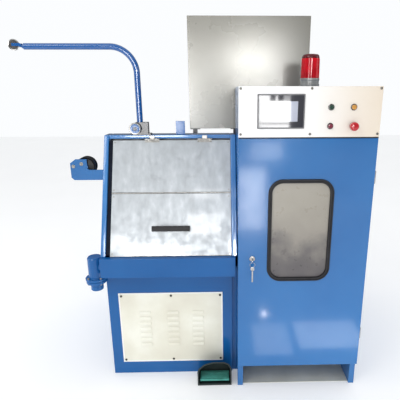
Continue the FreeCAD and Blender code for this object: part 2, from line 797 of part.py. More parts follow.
# the fork at the pipe's end: a neck, a yoke, two cheeks and the wheel's pin between them
tip_x = f"({LEFT} - dims.tip_wheel_x)"
tip_z = "dims.tip_wheel_height"
neck_radius = 9
neck_length = 8
yoke = (8, 24, 16)
cheek = (42, 3, 14)
tip_pin = 3
yoke_drop = 12
cheek_lead = 6
fork_front = f"({guide_y} - {yoke[1]} / 2)"
keep(fuse(
    rod(neck_radius, neck_length,
        (f"{LEFT} - dims.arm_end - {neck_length}", guide_y, "dims.arm_height"), "x"),
    block(yoke, (f"{LEFT} - dims.arm_end - {neck_length} - {yoke[0]}", fork_front,
                 f"{tip_z} - {yoke_drop}")),
    *[block(cheek, (f"{tip_x} - {cheek_lead}", y, f"{tip_z} - {cheek[2]} / 2"))
      for y in (fork_front, f"{fork_front} + {yoke[1]} - {cheek[1]}")],
    rod(tip_pin, yoke[1], (tip_x, fork_front, tip_z), "y")), "arm_tip_fork")

running_play = 0.06
tip_wheel_width = 12
tip_groove = 4
foot_wheel_width = 14
foot_groove = 5
wheel_gap = 2
keep(pulley("dims.tip_wheel_radius", tip_wheel_width, tip_groove, tip_pin + running_play,
            (tip_x, f"{guide_y} - {tip_wheel_width} / 2", tip_z)), "arm_tip_wheel")
keep(pulley("dims.foot_wheel_radius", foot_wheel_width, foot_groove, stub_radius + running_play,
            (foot_x, f"{stub_front} + {wheel_gap}", foot_z)), "arm_foot_wheel")

# a plate welded to the chamber's left wall carries the inlet roller on a fixed axle
inlet_y = f"({FRONT} + dims.inlet_setback)"
inlet_width = "(dims.inlet_left - dims.chamber_left)"
corner = 14
chamfer = 8
slope = 20
inlet_plate = outline_pad(
    [(corner, 0), (inlet_width, 0), (inlet_width, "dims.inlet_bar"),
     (f"dims.inlet_head + {chamfer}", "dims.inlet_bar"),
     ("dims.inlet_head", f"dims.inlet_bar + {chamfer}"),
     ("dims.inlet_head", "dims.inlet_rise"), (f"2 * {corner}", "dims.inlet_rise"),
     (0, f"dims.inlet_rise - {slope}"), (0, corner)],
    "dims.inlet_plate",
    (f"{LEFT} - dims.inlet_left", f"{inlet_y} + dims.inlet_plate", "dims.inlet_bottom"),
    role="XZ_Plane")
roller_x = f"({LEFT} - dims.inlet_roller_x)"
roller_z = "dims.inlet_roller_height"
axle = "dims.inlet_axle_radius"
axle_y = f"({inlet_y} + dims.inlet_plate)"
collar_step = 6
collar_radius = f"({axle} + {collar_step})"
collar = 4
end_collar = 6
collar_gap = 4
axle_root = 2
roller_groove = 12
roller_width = "dims.inlet_roller_width"
roller_y = f"({axle_y} + {collar} + {collar_gap})"
end_collar_y = f"({roller_y} + {roller_width} + {collar_gap})"
keep(fuse(
    inlet_plate,
    rod(axle, f"{end_collar_y} + {end_collar} - {axle_y} + {axle_root}",
        (roller_x, f"{axle_y} - {axle_root}", roller_z), "y"),
    rod(collar_radius, collar, (roller_x, axle_y, roller_z), "y"),
    rod(collar_radius, end_collar, (roller_x, end_collar_y, roller_z), "y")), "inlet_bracket")
keep(pulley("dims.inlet_roller_radius", roller_width, roller_groove, f"{axle} + {running_play}",
            (roller_x, roller_y, roller_z)), "inlet_roller")

# ---- rear drive housing over the full length ----

rear_length = "(dims.base_left + dims.cabinet_width)"
rear_depth = f"(dims.housing_depth - {wall})"
keep(gather(*[block((wall, rear_depth, "dims.housing_height"), (x, HOUSING_FRONT, 0))
              for x in (BASE_LEFT, f"{CABINET_RIGHT} - {wall}")]), "housing_side_walls")
keep(block((rear_length, wall, "dims.housing_height"), (BASE_LEFT, f"{HOUSING_REAR} - {wall}", 0)),
     "housing_back_wall")
keep(block((f"dims.base_left - {wall}", wall, f"dims.housing_height - {wall}"),
           (f"{BASE_LEFT} + {wall}", HOUSING_FRONT, 0)), "housing_front_wall")
roof = block((f"{rear_length} - 2 * {wall}", rear_depth, wall),
             (f"{BASE_LEFT} + {wall}", HOUSING_FRONT, f"dims.housing_height - {wall}"))
hatch_cut = 40
hatch = block(("dims.hatch_left + dims.hatch_right", "dims.hatch_rear - dims.hatch_front", hatch_cut),
              (f"{LEFT} - dims.hatch_left", f"{FRONT} + dims.hatch_front",
               f"dims.housing_height - {hatch_cut} / 2"))
keep(cut(roof, hatch), "housing_roof")
floor_sheet = "dims.floor_sheet"
floor_gap = 2
keep(gather(
    block((f"{rear_length} - 2 * {wall}", f"{rear_depth} - {wall}", floor_sheet),
          (f"{BASE_LEFT} + {wall}", f"{HOUSING_FRONT} + {wall}", 0)),
    block((f"{base_width} - 2 * {wall}", f"{base_depth} - {floor_gap}", floor_sheet),
          (f"{BASE_LEFT} + {wall}", f"{base_front} + {wall}", 0)),
    block((rail_length, f"{shelf_depth} - {door_back} - dims.bottom_sheet_setback", wall),
          (rail_left, f"{clear_front} + dims.bottom_sheet_setback", 0))), "floor_plates")

# gearbox column against the front wall; foot-mounted motor with its belt pulley
keep(block(("dims.gearbox_length", "dims.gearbox_depth", "dims.gearbox_height"),
           (f"{LEFT} - dims.gearbox_left", f"{HOUSING_FRONT} + {wall}", floor_sheet)), "gearbox")
motor_x = f"({LEFT} - dims.motor_left)"
motor_y = f"({FRONT} + dims.motor_setback)"
belt_pulley_radius = 70
belt_pulley_width = 60
motor_foot = (240, 230)
motor_foot_setback = 60
keep(fuse(
    rod("dims.motor_radius", "dims.motor_length", (motor_x, motor_y, "dims.motor_height"), "x"),
    rod(belt_pulley_radius, belt_pulley_width,
        (f"{motor_x} - {belt_pulley_width}", motor_y, "dims.motor_height"), "x"),
    block((*motor_foot, f"dims.motor_height - {floor_sheet}"),
          (f"{motor_x} + {motor_foot_setback}", f"{motor_y} - {motor_foot[1]} / 2", floor_sheet))),
     "main_motor")

# ---- lid of the drive housing, which stands open on its hinge blocks ----

lid_y = f"({FRONT} + dims.lid_setback)"
lid_width = "(dims.lid_left + dims.lid_right)"
lid_sheet = "dims.lid_sheet"
lid_outer = block((lid_width, "dims.lid_flange", "dims.lid_height"),
                  (f"{LEFT} - dims.lid_left", lid_y, "dims.lid_bottom"))
lid_inner = block((f"{lid_width} - 2 * {lid_sheet}", "dims.lid_flange",
                   f"dims.lid_height - 2 * {lid_sheet}"),
                  (f"{LEFT} - dims.lid_left + {lid_sheet}", f"{lid_y} + {lid_sheet}",
                   f"dims.lid_bottom + {lid_sheet}"))
keep(cut(lid_outer, lid_inner), "rear_lid")

# each hinge is a forked block on the roof with an arm of the lid between its cheeks
lid_z = "dims.lid_hinge_height"
hinge_width = 55
hinge_depth = 24
hinge_cheek = 14
cheek_over = 10
cheek_height = f"({lid_z} - dims.housing_height + {cheek_over})"
yoke_height = 12
arm_inset = 15
arm_thickness = 12
arm_width = hinge_width - 2 * arm_inset
lid_pin = 4
lid_pin_play = 0.05
lug = (hinge_width, 20, 4)
lug_lead = 1
arm_heel = 8
fork_bore_lead = 2
fork_bore_over = 5
lid_hinge_places = ("-252", "-25", "121", "349")
hinge_forks = []
hinge_arms = []
for x in lid_hinge_places:
    at_x = f"{LEFT} + {x}"
    fork_y = f"{lid_y} - {hinge_depth} / 2"
    cheeks = [block((hinge_cheek, hinge_depth, cheek_height), (cheek_x, fork_y, "dims.housing_height"))
              for cheek_x in (at_x, f"{at_x} + {hinge_width} - {hinge_cheek}")]
    hinge_forks.append(cut(
        fuse(*cheeks, block((hinge_width, hinge_depth, yoke_height),
                            (at_x, fork_y, "dims.housing_height"))),
        rod(f"{lid_pin} + {lid_pin_play}", f"{hinge_width} + {fork_bore_over}",
            (f"{at_x} - {fork_bore_lead}", lid_y, lid_z), "x")))
    hinge_arms.append(fuse(
        block((arm_width, arm_thickness, f"dims.lid_bottom - {lid_z} + {arm_heel}"),
              (f"{at_x} + {arm_inset}", f"{lid_y} - {arm_thickness} / 2", f"{lid_z} - {arm_heel}")),
        block(lug, (at_x, f"{lid_y} - {lug_lead}", f"dims.lid_bottom - {lug[2]}")),
        rod(lid_pin, hinge_width, (at_x, lid_y, lid_z), "x")))
keep(gather(*hinge_forks), "lid_hinge_blocks")
keep(gather(*hinge_arms), "lid_hinge_arms")

# ---- hooded foot switch on the floor ----

pedal_left = f"({LEFT} - dims.pedal_left)"
pedal_width = "(dims.pedal_left - dims.pedal_right)"
pedal_front = f"({FRONT} + dims.pedal_front)"
pedal_fall = "(dims.pedal_height - dims.pedal_rear_height)"
eaves = "0.6 * dims.pedal_height"
shoulder = "0.73 * dims.pedal_height"
brow = "0.91 * dims.pedal_height"
right_brow = 14
right_peak = 40
left_peak = 82
left_brow = 38
left_shoulder = 6
hood_outline = [
    (0, 0), (pedal_width, 0), (pedal_width, shoulder), (f"{pedal_width} - {right_brow}", brow),
    (f"{pedal_width} - {right_peak}", "dims.pedal_height"), (left_peak, "dims.pedal_height"),
    (left_brow, brow), (left_shoulder, shoulder), (0, eaves),
]

# the hollow runs a wall's thickness inside the hood, a little less where the outline slopes
skin = 7
slant = 5
brow_slant = 4
peak_slant = 3
shoulder_drop = 2
peak_under = f"dims.pedal_height - {skin}"
hollow_outline = [
    (skin, 0), (f"{pedal_width} - {skin}", 0),
    (f"{pedal_width} - {skin}", f"{shoulder} - {shoulder_drop}"),
    (f"{pedal_width} - {right_brow + slant}", f"{brow} - {slant}"),
    (f"{pedal_width} - {right_peak + peak_slant}", peak_under), (left_peak + peak_slant, peak_under),
    (left_brow + brow_slant, f"{brow} - {skin}"), (left_shoulder + skin, f"{shoulder} - {slant}"),
    (skin, f"{eaves} - {peak_slant}"),
]

# the arched front is swept down towards the heel, then trimmed to the floor and the front lip;
# the hollow's sweep starts a little in front of the hood's mouth
lip = 10
pan = 3
lead = 10
lead_rise = f"({pedal_fall} * {lead} / dims.pedal_depth)"
hood = common(
    swept_back(hood_outline, (pedal_left, pedal_front, 0), "dims.pedal_depth", pedal_fall),
    block((pedal_width, "dims.pedal_depth", "dims.pedal_height"), (pedal_left, pedal_front, 0)))
hollow = common(
    swept_back(hollow_outline, (pedal_left, f"{pedal_front} - {lead}", lead_rise),
               f"dims.pedal_depth + {lead}", f"{pedal_fall} + {lead_rise}"),
    block((pedal_width, f"dims.pedal_depth + {lead} - {skin}", "dims.pedal_height"),
          (pedal_left, f"{pedal_front} - {lead}", lip)))
pocket = block((f"{pedal_width} - 2 * {skin}", f"dims.pedal_depth - 2 * {skin}", lip),
               (f"{pedal_left} + {skin}", f"{pedal_front} + {skin}", pan))
treadle_axle = 3
treadle_bottom = 18
treadle_thickness = 12
treadle_front = 14
treadle_length = 70
side_gap = 14
axle_end = 3
axle_inset = 10
axle_length = f"{pedal_width} - 2 * {axle_end}"
axle_at = (f"{pedal_left} + {axle_end}", f"{pedal_front} + {treadle_front} + {treadle_length} - {axle_inset}",
           treadle_bottom + treadle_thickness / 2)
keep(fuse(cut(hood, hollow, pocket), rod(treadle_axle, axle_length, axle_at, "x")),
     "foot_switch_case")
keep(cut(block((f"{pedal_width} - 2 * {side_gap}", treadle_length, treadle_thickness),
               (f"{pedal_left} + {side_gap}", f"{pedal_front} + {treadle_front}", treadle_bottom)),
         rod(treadle_axle + running_play, axle_length, axle_at, "x")), "foot_pedal")

# ---- build, check every object, and write one file for each sub-part ----

doc.recompute()
for item in doc.Objects:
    if "Invalid" in item.State or "Error" in item.State:
        raise RuntimeError(f"{item.Label} failed: {item.State}")
for item in nodes:
    if item.Shape.isNull() or not item.Shape.isValid() or item.Shape.Volume <= 0:
        raise RuntimeError(f"{item.Label} has no valid solid")

os.makedirs("parts", exist_ok=True)
for item in nodes:
    item.Shape.exportStep(os.path.join("parts", item.Label + ".step"))
    print(item.Label, round(item.Shape.Volume))
print(len(nodes), "sub-parts")
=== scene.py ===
import json
import math

import bpy
from mathutils import Matrix, Vector

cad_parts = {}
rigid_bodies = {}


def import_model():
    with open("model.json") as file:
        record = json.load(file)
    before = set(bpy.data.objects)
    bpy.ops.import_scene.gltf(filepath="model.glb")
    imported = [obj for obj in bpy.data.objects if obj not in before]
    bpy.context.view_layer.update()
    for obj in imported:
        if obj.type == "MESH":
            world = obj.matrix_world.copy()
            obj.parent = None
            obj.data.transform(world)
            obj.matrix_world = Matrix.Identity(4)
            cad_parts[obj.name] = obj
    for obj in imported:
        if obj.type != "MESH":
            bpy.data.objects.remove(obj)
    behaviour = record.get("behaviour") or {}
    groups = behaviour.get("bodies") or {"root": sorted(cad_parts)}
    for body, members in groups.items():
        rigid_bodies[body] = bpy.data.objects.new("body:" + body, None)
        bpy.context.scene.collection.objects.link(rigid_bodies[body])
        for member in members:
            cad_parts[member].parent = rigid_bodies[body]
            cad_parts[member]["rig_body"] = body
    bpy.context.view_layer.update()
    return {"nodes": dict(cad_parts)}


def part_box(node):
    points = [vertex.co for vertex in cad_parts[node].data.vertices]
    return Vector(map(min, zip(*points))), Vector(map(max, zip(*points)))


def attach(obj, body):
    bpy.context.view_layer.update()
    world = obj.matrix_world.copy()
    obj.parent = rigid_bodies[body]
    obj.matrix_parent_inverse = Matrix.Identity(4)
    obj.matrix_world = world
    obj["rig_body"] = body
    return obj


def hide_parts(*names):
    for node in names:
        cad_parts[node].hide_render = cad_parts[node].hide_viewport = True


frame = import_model()

# ---- Studio ----
# A pale floor in a white room. The camera stands a little left of the cabinet at head height and
# looks slightly down; large soft panels light the machine from the front, the left and above.

camera_data = bpy.data.cameras.new("camera")
camera_data.sensor_width = 36
camera_data.lens = 35.92
camera_data.shift_x = -0.0795
camera_data.shift_y = 0.0046
camera_data.clip_end = 60
camera = bpy.data.objects.new("camera", camera_data)
camera.location = (0.162, -2.3591, 1.5844)
camera.rotation_euler = [math.radians(turn) for turn in (74.317, 0.107, -1.561)]
bpy.context.scene.collection.objects.link(camera)
bpy.context.scene.camera = camera
bpy.context.scene.view_settings.view_transform = "Standard"


def start_material(name):
    """A new node material: its tree, its shader, and the object's own coordinates."""
    material = bpy.data.materials.new(name)
    material.use_nodes = True
    tree = material.node_tree
    place = tree.nodes.new("ShaderNodeTexCoord").outputs["Object"]
    return material, tree, tree.nodes["Principled BSDF"], place


def noise(tree, place, scale, detail=4, stretch=(1, 1, 1)):
    """A cloudy pattern over the object, drawn out along the axes with a small stretch."""
    turn = tree.nodes.new("ShaderNodeMapping")
    turn.inputs["Scale"].default_value = stretch
    tree.links.new(place, turn.inputs["Vector"])
    pattern = tree.nodes.new("ShaderNodeTexNoise")
    pattern.inputs["Scale"].default_value = scale
    pattern.inputs["Detail"].default_value = detail
    tree.links.new(turn.outputs["Vector"], pattern.inputs["Vector"])
    return pattern.outputs["Fac"]


def between(tree, factor, low, high, start=0.0, end=1.0):
    """Remap a factor that runs from start to end onto low to high."""
    remap = tree.nodes.new("ShaderNodeMapRange")
    ends = (("From Min", start), ("From Max", end), ("To Min", low), ("To Max", high))
    for socket, value in ends:
        remap.inputs[socket].default_value = value
    tree.links.new(factor, remap.inputs["Value"])
    return remap.outputs["Result"]


def tones(tree, factor, stops):
    """Colours along a factor, each stop a place and a linear RGB colour."""
    ramp = tree.nodes.new("ShaderNodeValToRGB")
    band = ramp.color_ramp
    while len(band.elements) < len(stops):
        band.elements.new(0.5)
    for element, (spot, colour) in zip(band.elements, stops):
        element.position = spot
        element.color = (*colour, 1)
    tree.links.new(factor, ramp.inputs["Fac"])
    return ramp.outputs["Color"]


pale_floor, tree, shader, place = start_material("pale_floor")
tree.links.new(tones(tree, noise(tree, place, 1.5), [(0.3, (0.83, 0.83, 0.83)),
                                                     (0.7, (0.86, 0.86, 0.86))]),
               shader.inputs["Base Color"])
shader.inputs["Roughness"].default_value = 0.9
shader.inputs["Emission Color"].default_value = (0.97, 0.985, 1, 1)
shader.inputs["Emission Strength"].default_value = 0.2
bpy.ops.object.select_all(action="DESELECT")
bpy.ops.mesh.primitive_plane_add(size=24, location=(0, 0, 0))
floor = bpy.context.object
floor.name = "studio_floor"
floor.data.materials.append(pale_floor)

world = bpy.data.worlds.new("studio")
world.use_nodes = True
bpy.context.scene.world = world
tree = world.node_tree
ray = tree.nodes.new("ShaderNodeLightPath")


def sky(strength):
    """A background of one strength, or of the strength that a socket gives."""
    background = tree.nodes.new("ShaderNodeBackground")
    background.inputs["Color"].default_value = (0.97, 0.985, 1, 1)
    if isinstance(strength, float):
        background.inputs["Strength"].default_value = strength
    else:
        tree.links.new(strength, background.inputs["Strength"])
    return background.outputs["Background"]


def choose(factor, one, other):
    """The second background for the rays that the factor marks, or else the first."""
    mixed = tree.nodes.new("ShaderNodeMixShader")
    tree.links.new(factor, mixed.inputs["Fac"])
    tree.links.new(one, mixed.inputs[1])
    tree.links.new(other, mixed.inputs[2])
    return mixed.outputs["Shader"]


heading = tree.nodes.new("ShaderNodeSeparateXYZ")
tree.links.new(tree.nodes.new("ShaderNodeTexCoord").outputs["Generated"], heading.inputs["Vector"])
ceiling = between(tree, heading.outputs["Z"], 0.16, 0.95, 0.25, 0.95)
lit = choose(ray.outputs["Is Glossy Ray"], sky(0.86), sky(ceiling))
tree.links.new(choose(ray.outputs["Is Camera Ray"], lit, sky(1.0)),
               tree.nodes["World Output"].inputs["Surface"])

LIGHTS = {
    # name: (centre, aimed at, width, height, brightness, who it lights: paint, mirrors or both)
    "key_panel": ((-2.6, -3.4, 4.4), (0.1, -0.3, 0.8), 2.0, 1.6, 5, "both"),
    "left_panel": ((-3.8, -0.6, 2.0), (-0.2, 0, 0.9), 1.0, 2.2, 3, "both"),
    "right_panel": ((4.0, -0.8, 2.2), (0.3, 0, 0.9), 1.4, 2.0, 2, "both"),
    "front_fill": ((0.3, -4.6, 1.0), (0.1, -0.4, 0.7), 3.6, 1.6, 1.6, "paint"),
    "arm_card": ((-0.66, -3.2, 1.55), (-0.27, -0.2, 1.5), 0.76, 1.1, 16, "mirrors"),
    "screen_window": ((0.731, -3.02, 1.357), (0.731, 0, 1.357), 0.338, 0.231, 15, "mirrors"),
    "screen_window_corner": ((0.617, -3.02, 1.505), (0.617, 0, 1.505), 0.131, 0.064, 15, "mirrors"),
    "screen_window_bar": ((0.7535, -3.02, 1.50), (0.7535, 0, 1.50), 0.022, 0.050, 15, "mirrors"),
    "screen_window_pale": ((0.8625, -3.02, 1.50), (0.8625, 0, 1.50), 0.075, 0.055, 5, "mirrors"),
    "screen_window_sill": ((0.732, -3.02, 1.208), (0.732, 0, 1.208), 0.330, 0.040, 15, "mirrors"),
    "door_window_high": ((0.656, -3.02, 0.939), (0.656, 0, 0.939), 0.34, 0.17, 6, "mirrors"),
    "door_window_low": ((0.500, -3.02, 0.390), (0.500, 0, 0.390), 0.30, 0.72, 8, "mirrors"),
    "lid_window": ((0.580, -3.02, 1.927), (0.580, 0, 1.927), 0.66, 0.24, 40, "mirrors"),
    "floor_glow_right": ((0.865, -0.996, 0.01), (0.865, -0.996, 1), 0.43, 0.30, 2.4, "both"),
    "floor_glow_left": ((0.480, -0.960, 0.01), (0.480, -0.960, 1), 0.24, 0.34, 1.6, "both"),
    "floor_glint": ((0.466, -1.258, 0.012), (0.466, -1.258, 1), 0.03, 0.05, 40, "mirrors"),
    "cover_window_left": ((-2.02, -6.3, 3.555), (-0.3, -0.4, 0.9), 0.40, 0.36, 14, "mirrors"),
    "cover_window_right": ((-0.172, -5.39, 3.53), (-0.1, -0.4, 0.9), 0.62, 0.40, 14, "mirrors"),
    "cover_window_high": ((-0.172, -5.39, 4.22), (-0.1, -0.4, 0.9), 0.62, 0.18, 9, "mirrors"),
}
for name, (centre, target, width, height, brightness, seen_by) in LIGHTS.items():
    light = bpy.data.lights.new(name, "AREA")
    light.shape = "RECTANGLE"
    light.size = width
    light.size_y = height
    light.energy = brightness * math.pi * width * height
    lamp = bpy.data.objects.new(name, light)
    lamp.location = centre
    lamp.rotation_euler = (Vector(target) - Vector(centre)).to_track_quat("-Z", "Y").to_euler()
    lamp.visible_camera = False
    lamp.visible_diffuse = seen_by != "mirrors"
    lamp.visible_glossy = seen_by != "paint"
    bpy.context.scene.collection.objects.link(lamp)

# ---- Take-up cabinet ----
# A welded box of 3 mm sheet steel with rounded folds, sprayed in glossy blue enamel that shows a
# little orange peel. Posts and rails behind the door stiffen its front.


def relief(tree, shader, height, depth, strength=1.0):
    """Raise or sink the surface by a pattern, depth in metres."""
    bump = tree.nodes.new("ShaderNodeBump")
    bump.inputs["Strength"].default_value = strength
    bump.inputs["Distance"].default_value = depth
    tree.links.new(height, bump.inputs["Height"])
    tree.links.new(bump.outputs["Normal"], shader.inputs["Normal"])


def enamel(name, dark, light, coat):
    """Sprayed enamel that drifts from dark to light, with the orange peel of a spray gun."""
    material, tree, shader, place = start_material(name)
    middle = [(a + b) / 2 for a, b in zip(dark, light)]
    drift = noise(tree, place, 1.7, 4)
    tree.links.new(tones(tree, drift, [(0.30, dark), (0.52, middle), (0.75, light)]),
                   shader.inputs["Base Color"])
    tree.links.new(between(tree, noise(tree, place, 9, 5), 0.11, 0.22, 0.3, 0.7),
                   shader.inputs["Roughness"])
    relief(tree, shader, noise(tree, place, 260, 2), 0.0002, 0.2)
    shader.inputs["Coat Weight"].default_value = coat
    shader.inputs["Coat Roughness"].default_value = 0.08
    return material


blue_enamel = enamel("blue_enamel", (0.010, 0.113, 0.340), (0.022, 0.160, 0.425), 0.35)


def only(piece):
    """Leave one object selected and active."""
    bpy.ops.object.select_all(action="DESELECT")
    piece.select_set(True)
    bpy.context.view_layer.objects.active = piece
    return piece


def fit(piece, body, material, replaces=(), smooth=35):
    """Give a finished piece its material, its shading and the body that it is fixed to."""
    only(piece)
    if not piece.data.materials:
        piece.data.materials.append(material)
    bpy.ops.object.shade_smooth_by_angle(angle=math.radians(smooth))
    even = piece.modifiers.new("even_shading", "WEIGHTED_NORMAL")
    even.keep_sharp = True
    bpy.ops.object.modifier_apply(modifier="even_shading")
    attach(piece, body)
    if replaces:
        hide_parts(*replaces)
    return piece


def eased(node, material, edge=0.0015, rounds=2):
    """A sheet metal or cast part in its place, with its sharp corners rounded over.

    The rounding stays under half of the sheet, so that a rim keeps a flat face of its own.
    """
    source = frame["nodes"][node]
    piece = bpy.data.objects.new(node + "_eased", source.data.copy())
    piece.data.materials.clear()
    bpy.context.scene.collection.objects.link(piece)
    only(piece)
    bpy.ops.object.mode_set(mode="EDIT")
    bpy.ops.mesh.select_all(action="SELECT")
    bpy.ops.mesh.remove_doubles(threshold=0.00002)
    bpy.ops.mesh.dissolve_limited(angle_limit=math.radians(0.5))
    bpy.ops.object.mode_set(mode="OBJECT")
    corner = piece.modifiers.new("corner", "BEVEL")
    corner.width = edge
    corner.segments = rounds
    corner.limit_method = "ANGLE"
    corner.angle_limit = math.radians(40)
    bpy.ops.object.modifier_apply(modifier="corner")
    return fit(piece, source["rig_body"], material, [node])


for node in ("cabinet_left_wall", "cabinet_right_wall", "cabinet_back_wall", "cabinet_roof",
             "control_bay_floor", "cabinet_floor", "door_posts", "cabinet_sills", "door_rails"):
    eased(node, blue_enamel, 0.0012)

# ---- Base, coolant tray and drawing chamber ----
# Folded and welded sheet steel in the same blue enamel, painted darker on the base, tray and stop tab
# as painted shade and lighter on the chamber's side walls and top rail as painted highlight. The tray
# is a deep pan whose rim stands in front of the chamber; the chamber's side walls are thick box
# sections that lean back.

# Painted shade: a darker copy of the blue enamel for the base, the tray, the stop tab and the outlet.
painted_shade_enamel = enamel("blue_enamel_with_painted_shade", (0.003, 0.086, 0.285), (0.010, 0.126, 0.380), 0.08)
painted_shade_enamel.node_tree.nodes["Principled BSDF"].inputs["Specular IOR Level"].default_value = 0.36
for node in ("base_front_wall", "base_side_walls", "stop_tab"):
    eased(node, painted_shade_enamel, 0.0012)
eased("coolant_tray", painted_shade_enamel, 0.0013, 3)
# Painted highlight: a lighter copy of the blue enamel for the chamber's side walls and top rail.
painted_highlight_enamel = enamel("gloss_blue_enamel_with_painted_highlight", (0.020, 0.150, 0.420), (0.045, 0.230, 0.560), 1.0)
for node in ("chamber_left_wall", "chamber_right_wall", "chamber_top_rail"):
    eased(node, painted_highlight_enamel, 0.004, 3)

# ---- Rear drive housing ----
# Sheet steel panels in the cabinet's blue enamel that close in the gearbox and motor. They are
# folded at their edges and welded to the back of the cabinet.

for node in ("housing_side_walls", "housing_back_wall", "housing_front_wall", "housing_roof"):
    eased(node, blue_enamel, 0.0012)

# ---- Screws and bolts ----
# Pan head screws with a cross slot hold the sheet metal; hexagon bolts on washers hold the
# castings. Each is turned once and then copied to its holes.


def finish(name, stops, scale, rough, grain, depth, metal=0.0, coat=0.0, stretch=(1, 1, 1)):
    """An even finish: colour that drifts between stops, uneven gloss, and a fine grain."""
    material, tree, shader, place = start_material(name)
    drift = noise(tree, place, scale, 5, stretch)
    tree.links.new(tones(tree, drift, stops), shader.inputs["Base Color"])
    fine = noise(tree, place, grain, 3, stretch)
    tree.links.new(between(tree, fine, *rough), shader.inputs["Roughness"])
    relief(tree, shader, fine, depth)
    shader.inputs["Metallic"].default_value = metal
    shader.inputs["Coat Weight"].default_value = coat
    return material


zinc = finish("zinc_steel", [(0.3, (0.24, 0.235, 0.22)), (0.7, (0.42, 0.41, 0.39))], 60,
              (0.25, 0.45), 400, 0.0001, metal=1.0)
oxide = finish("black_oxide_steel", [(0.3, (0.012, 0.011, 0.010)), (0.7, (0.035, 0.032, 0.030))], 60,
               (0.30, 0.55), 300, 0.0001, metal=0.7)
dull_zinc = finish("dull_zinc_steel", [(0.3, (0.10, 0.095, 0.085)), (0.7, (0.20, 0.19, 0.175))], 60,
                   (0.35, 0.55), 400, 0.0001, metal=1.0)


def turned(name, rings, at, towards=(0, 0, 1), sides=32):
    """A piece turned on a lathe: rings of radius and height, joined from its foot to its top."""
    bpy.ops.object.select_all(action="DESELECT")
    radius, height = rings[0]
    bpy.ops.mesh.primitive_circle_add(vertices=sides, radius=radius, fill_type="NGON",
                                      location=(0, 0, height))
    piece = bpy.context.object
    piece.name = name
    bpy.ops.object.transform_apply(location=True, rotation=True, scale=True)
    bpy.ops.object.mode_set(mode="EDIT")
    bpy.ops.mesh.select_all(action="SELECT")
    for wider, higher in rings[1:]:
        bpy.ops.mesh.extrude_region_move(TRANSFORM_OT_translate={"value": (0, 0, higher - height)})
        grow = wider / radius
        bpy.ops.transform.resize(value=(grow, grow, 1), center_override=(0, 0, higher))
        radius, height = wider, higher
    bpy.ops.mesh.select_all(action="SELECT")
    bpy.ops.mesh.normals_make_consistent(inside=False)
    bpy.ops.object.mode_set(mode="OBJECT")
    stand = Vector((0, 0, 1)).rotation_difference(Vector(towards)).to_matrix().to_4x4()
    piece.data.transform(Matrix.Translation(at) @ stand)
    return piece


def pick_faces(piece, wanted):
    """Open a piece in edit mode with the faces selected whose centre and normal are wanted."""
    only(piece)
    bpy.ops.object.mode_set(mode="EDIT")
    bpy.ops.mesh.select_mode(type="FACE")
    bpy.ops.mesh.select_all(action="DESELECT")
    bpy.ops.object.mode_set(mode="OBJECT")
    for face in piece.data.polygons:
        face.select = wanted(face.center, face.normal)
    bpy.ops.object.mode_set(mode="EDIT")


def joined(name, pieces):
    """Several pieces as one object."""
    only(pieces[0])
    for piece in pieces[1:]:
        piece.select_set(True)
    if len(pieces) > 1:
        bpy.ops.object.join()
    pieces[0].name = name
    return pieces[0]


def copies(piece, name, moves):
    """A piece and its copies, each moved by a vector, joined as one object."""
    group = []
    for move in moves:
        twin = bpy.data.objects.new(name, piece.data.copy())
        bpy.context.scene.collection.objects.link(twin)
        twin.data.transform(Matrix.Translation(move))
        group.append(twin)
    bpy.data.objects.remove(piece)
    return joined(name, group)


def screws(name, body, spots, radius=0.005, towards=(0, -1, 0), material=zinc):
    """Pan head cross slot screws at their holes, their heads proud of the sheet."""
    head = turned("head", [(radius, -0.0004), (radius, radius * 0.25), (radius * 0.8, radius * 0.52),
                           (radius * 0.45, radius * 0.62)], (0, 0, 0), towards, 16)
    facing = Vector(towards)
    pick_faces(head, lambda at, normal: normal.dot(facing) > 0.99 and at.dot(facing) > 0)
    bpy.ops.mesh.inset(thickness=radius * 0.12, depth=-radius * 0.3)
    bpy.ops.object.mode_set(mode="OBJECT")
    return fit(copies(head, name, spots), body, material)


def bolts(name, body, spots, radius=0.007, towards=(0, -1, 0), material=zinc):
    """Hexagon bolts on round washers at their holes."""
    washer = turned("washer", [(radius * 1.35, -0.0004), (radius * 1.35, 0.0012),
                               (radius * 1.25, 0.0016)], (0, 0, 0), towards, 20)
    head = turned("head", [(radius, 0.001), (radius, radius * 0.75), (radius * 0.82, radius * 0.9)],
                  (0, 0, 0), towards, 6)
    return fit(copies(joined("bolt", [washer, head]), name, spots), body, material, smooth=25)


# ---- Door ----
# A folded steel pan in the blue enamel, hung on two lift-off hinges at its right. A black rubber
# profile clamps a hazed plastic pane into its rounded window; the pane is lighter towards its top and
# blotchy with pale patches, a painted reflection over its haze.

eased("cabinet_door", blue_enamel, 0.0013, 3)
door_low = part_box("cabinet_door")[0]
cabinet_left = door_low.x
door_face = door_low.y
for node in ("door_hinge_pins", "door_hinge_sleeves"):
    eased(node, zinc, 0.0004, 2)

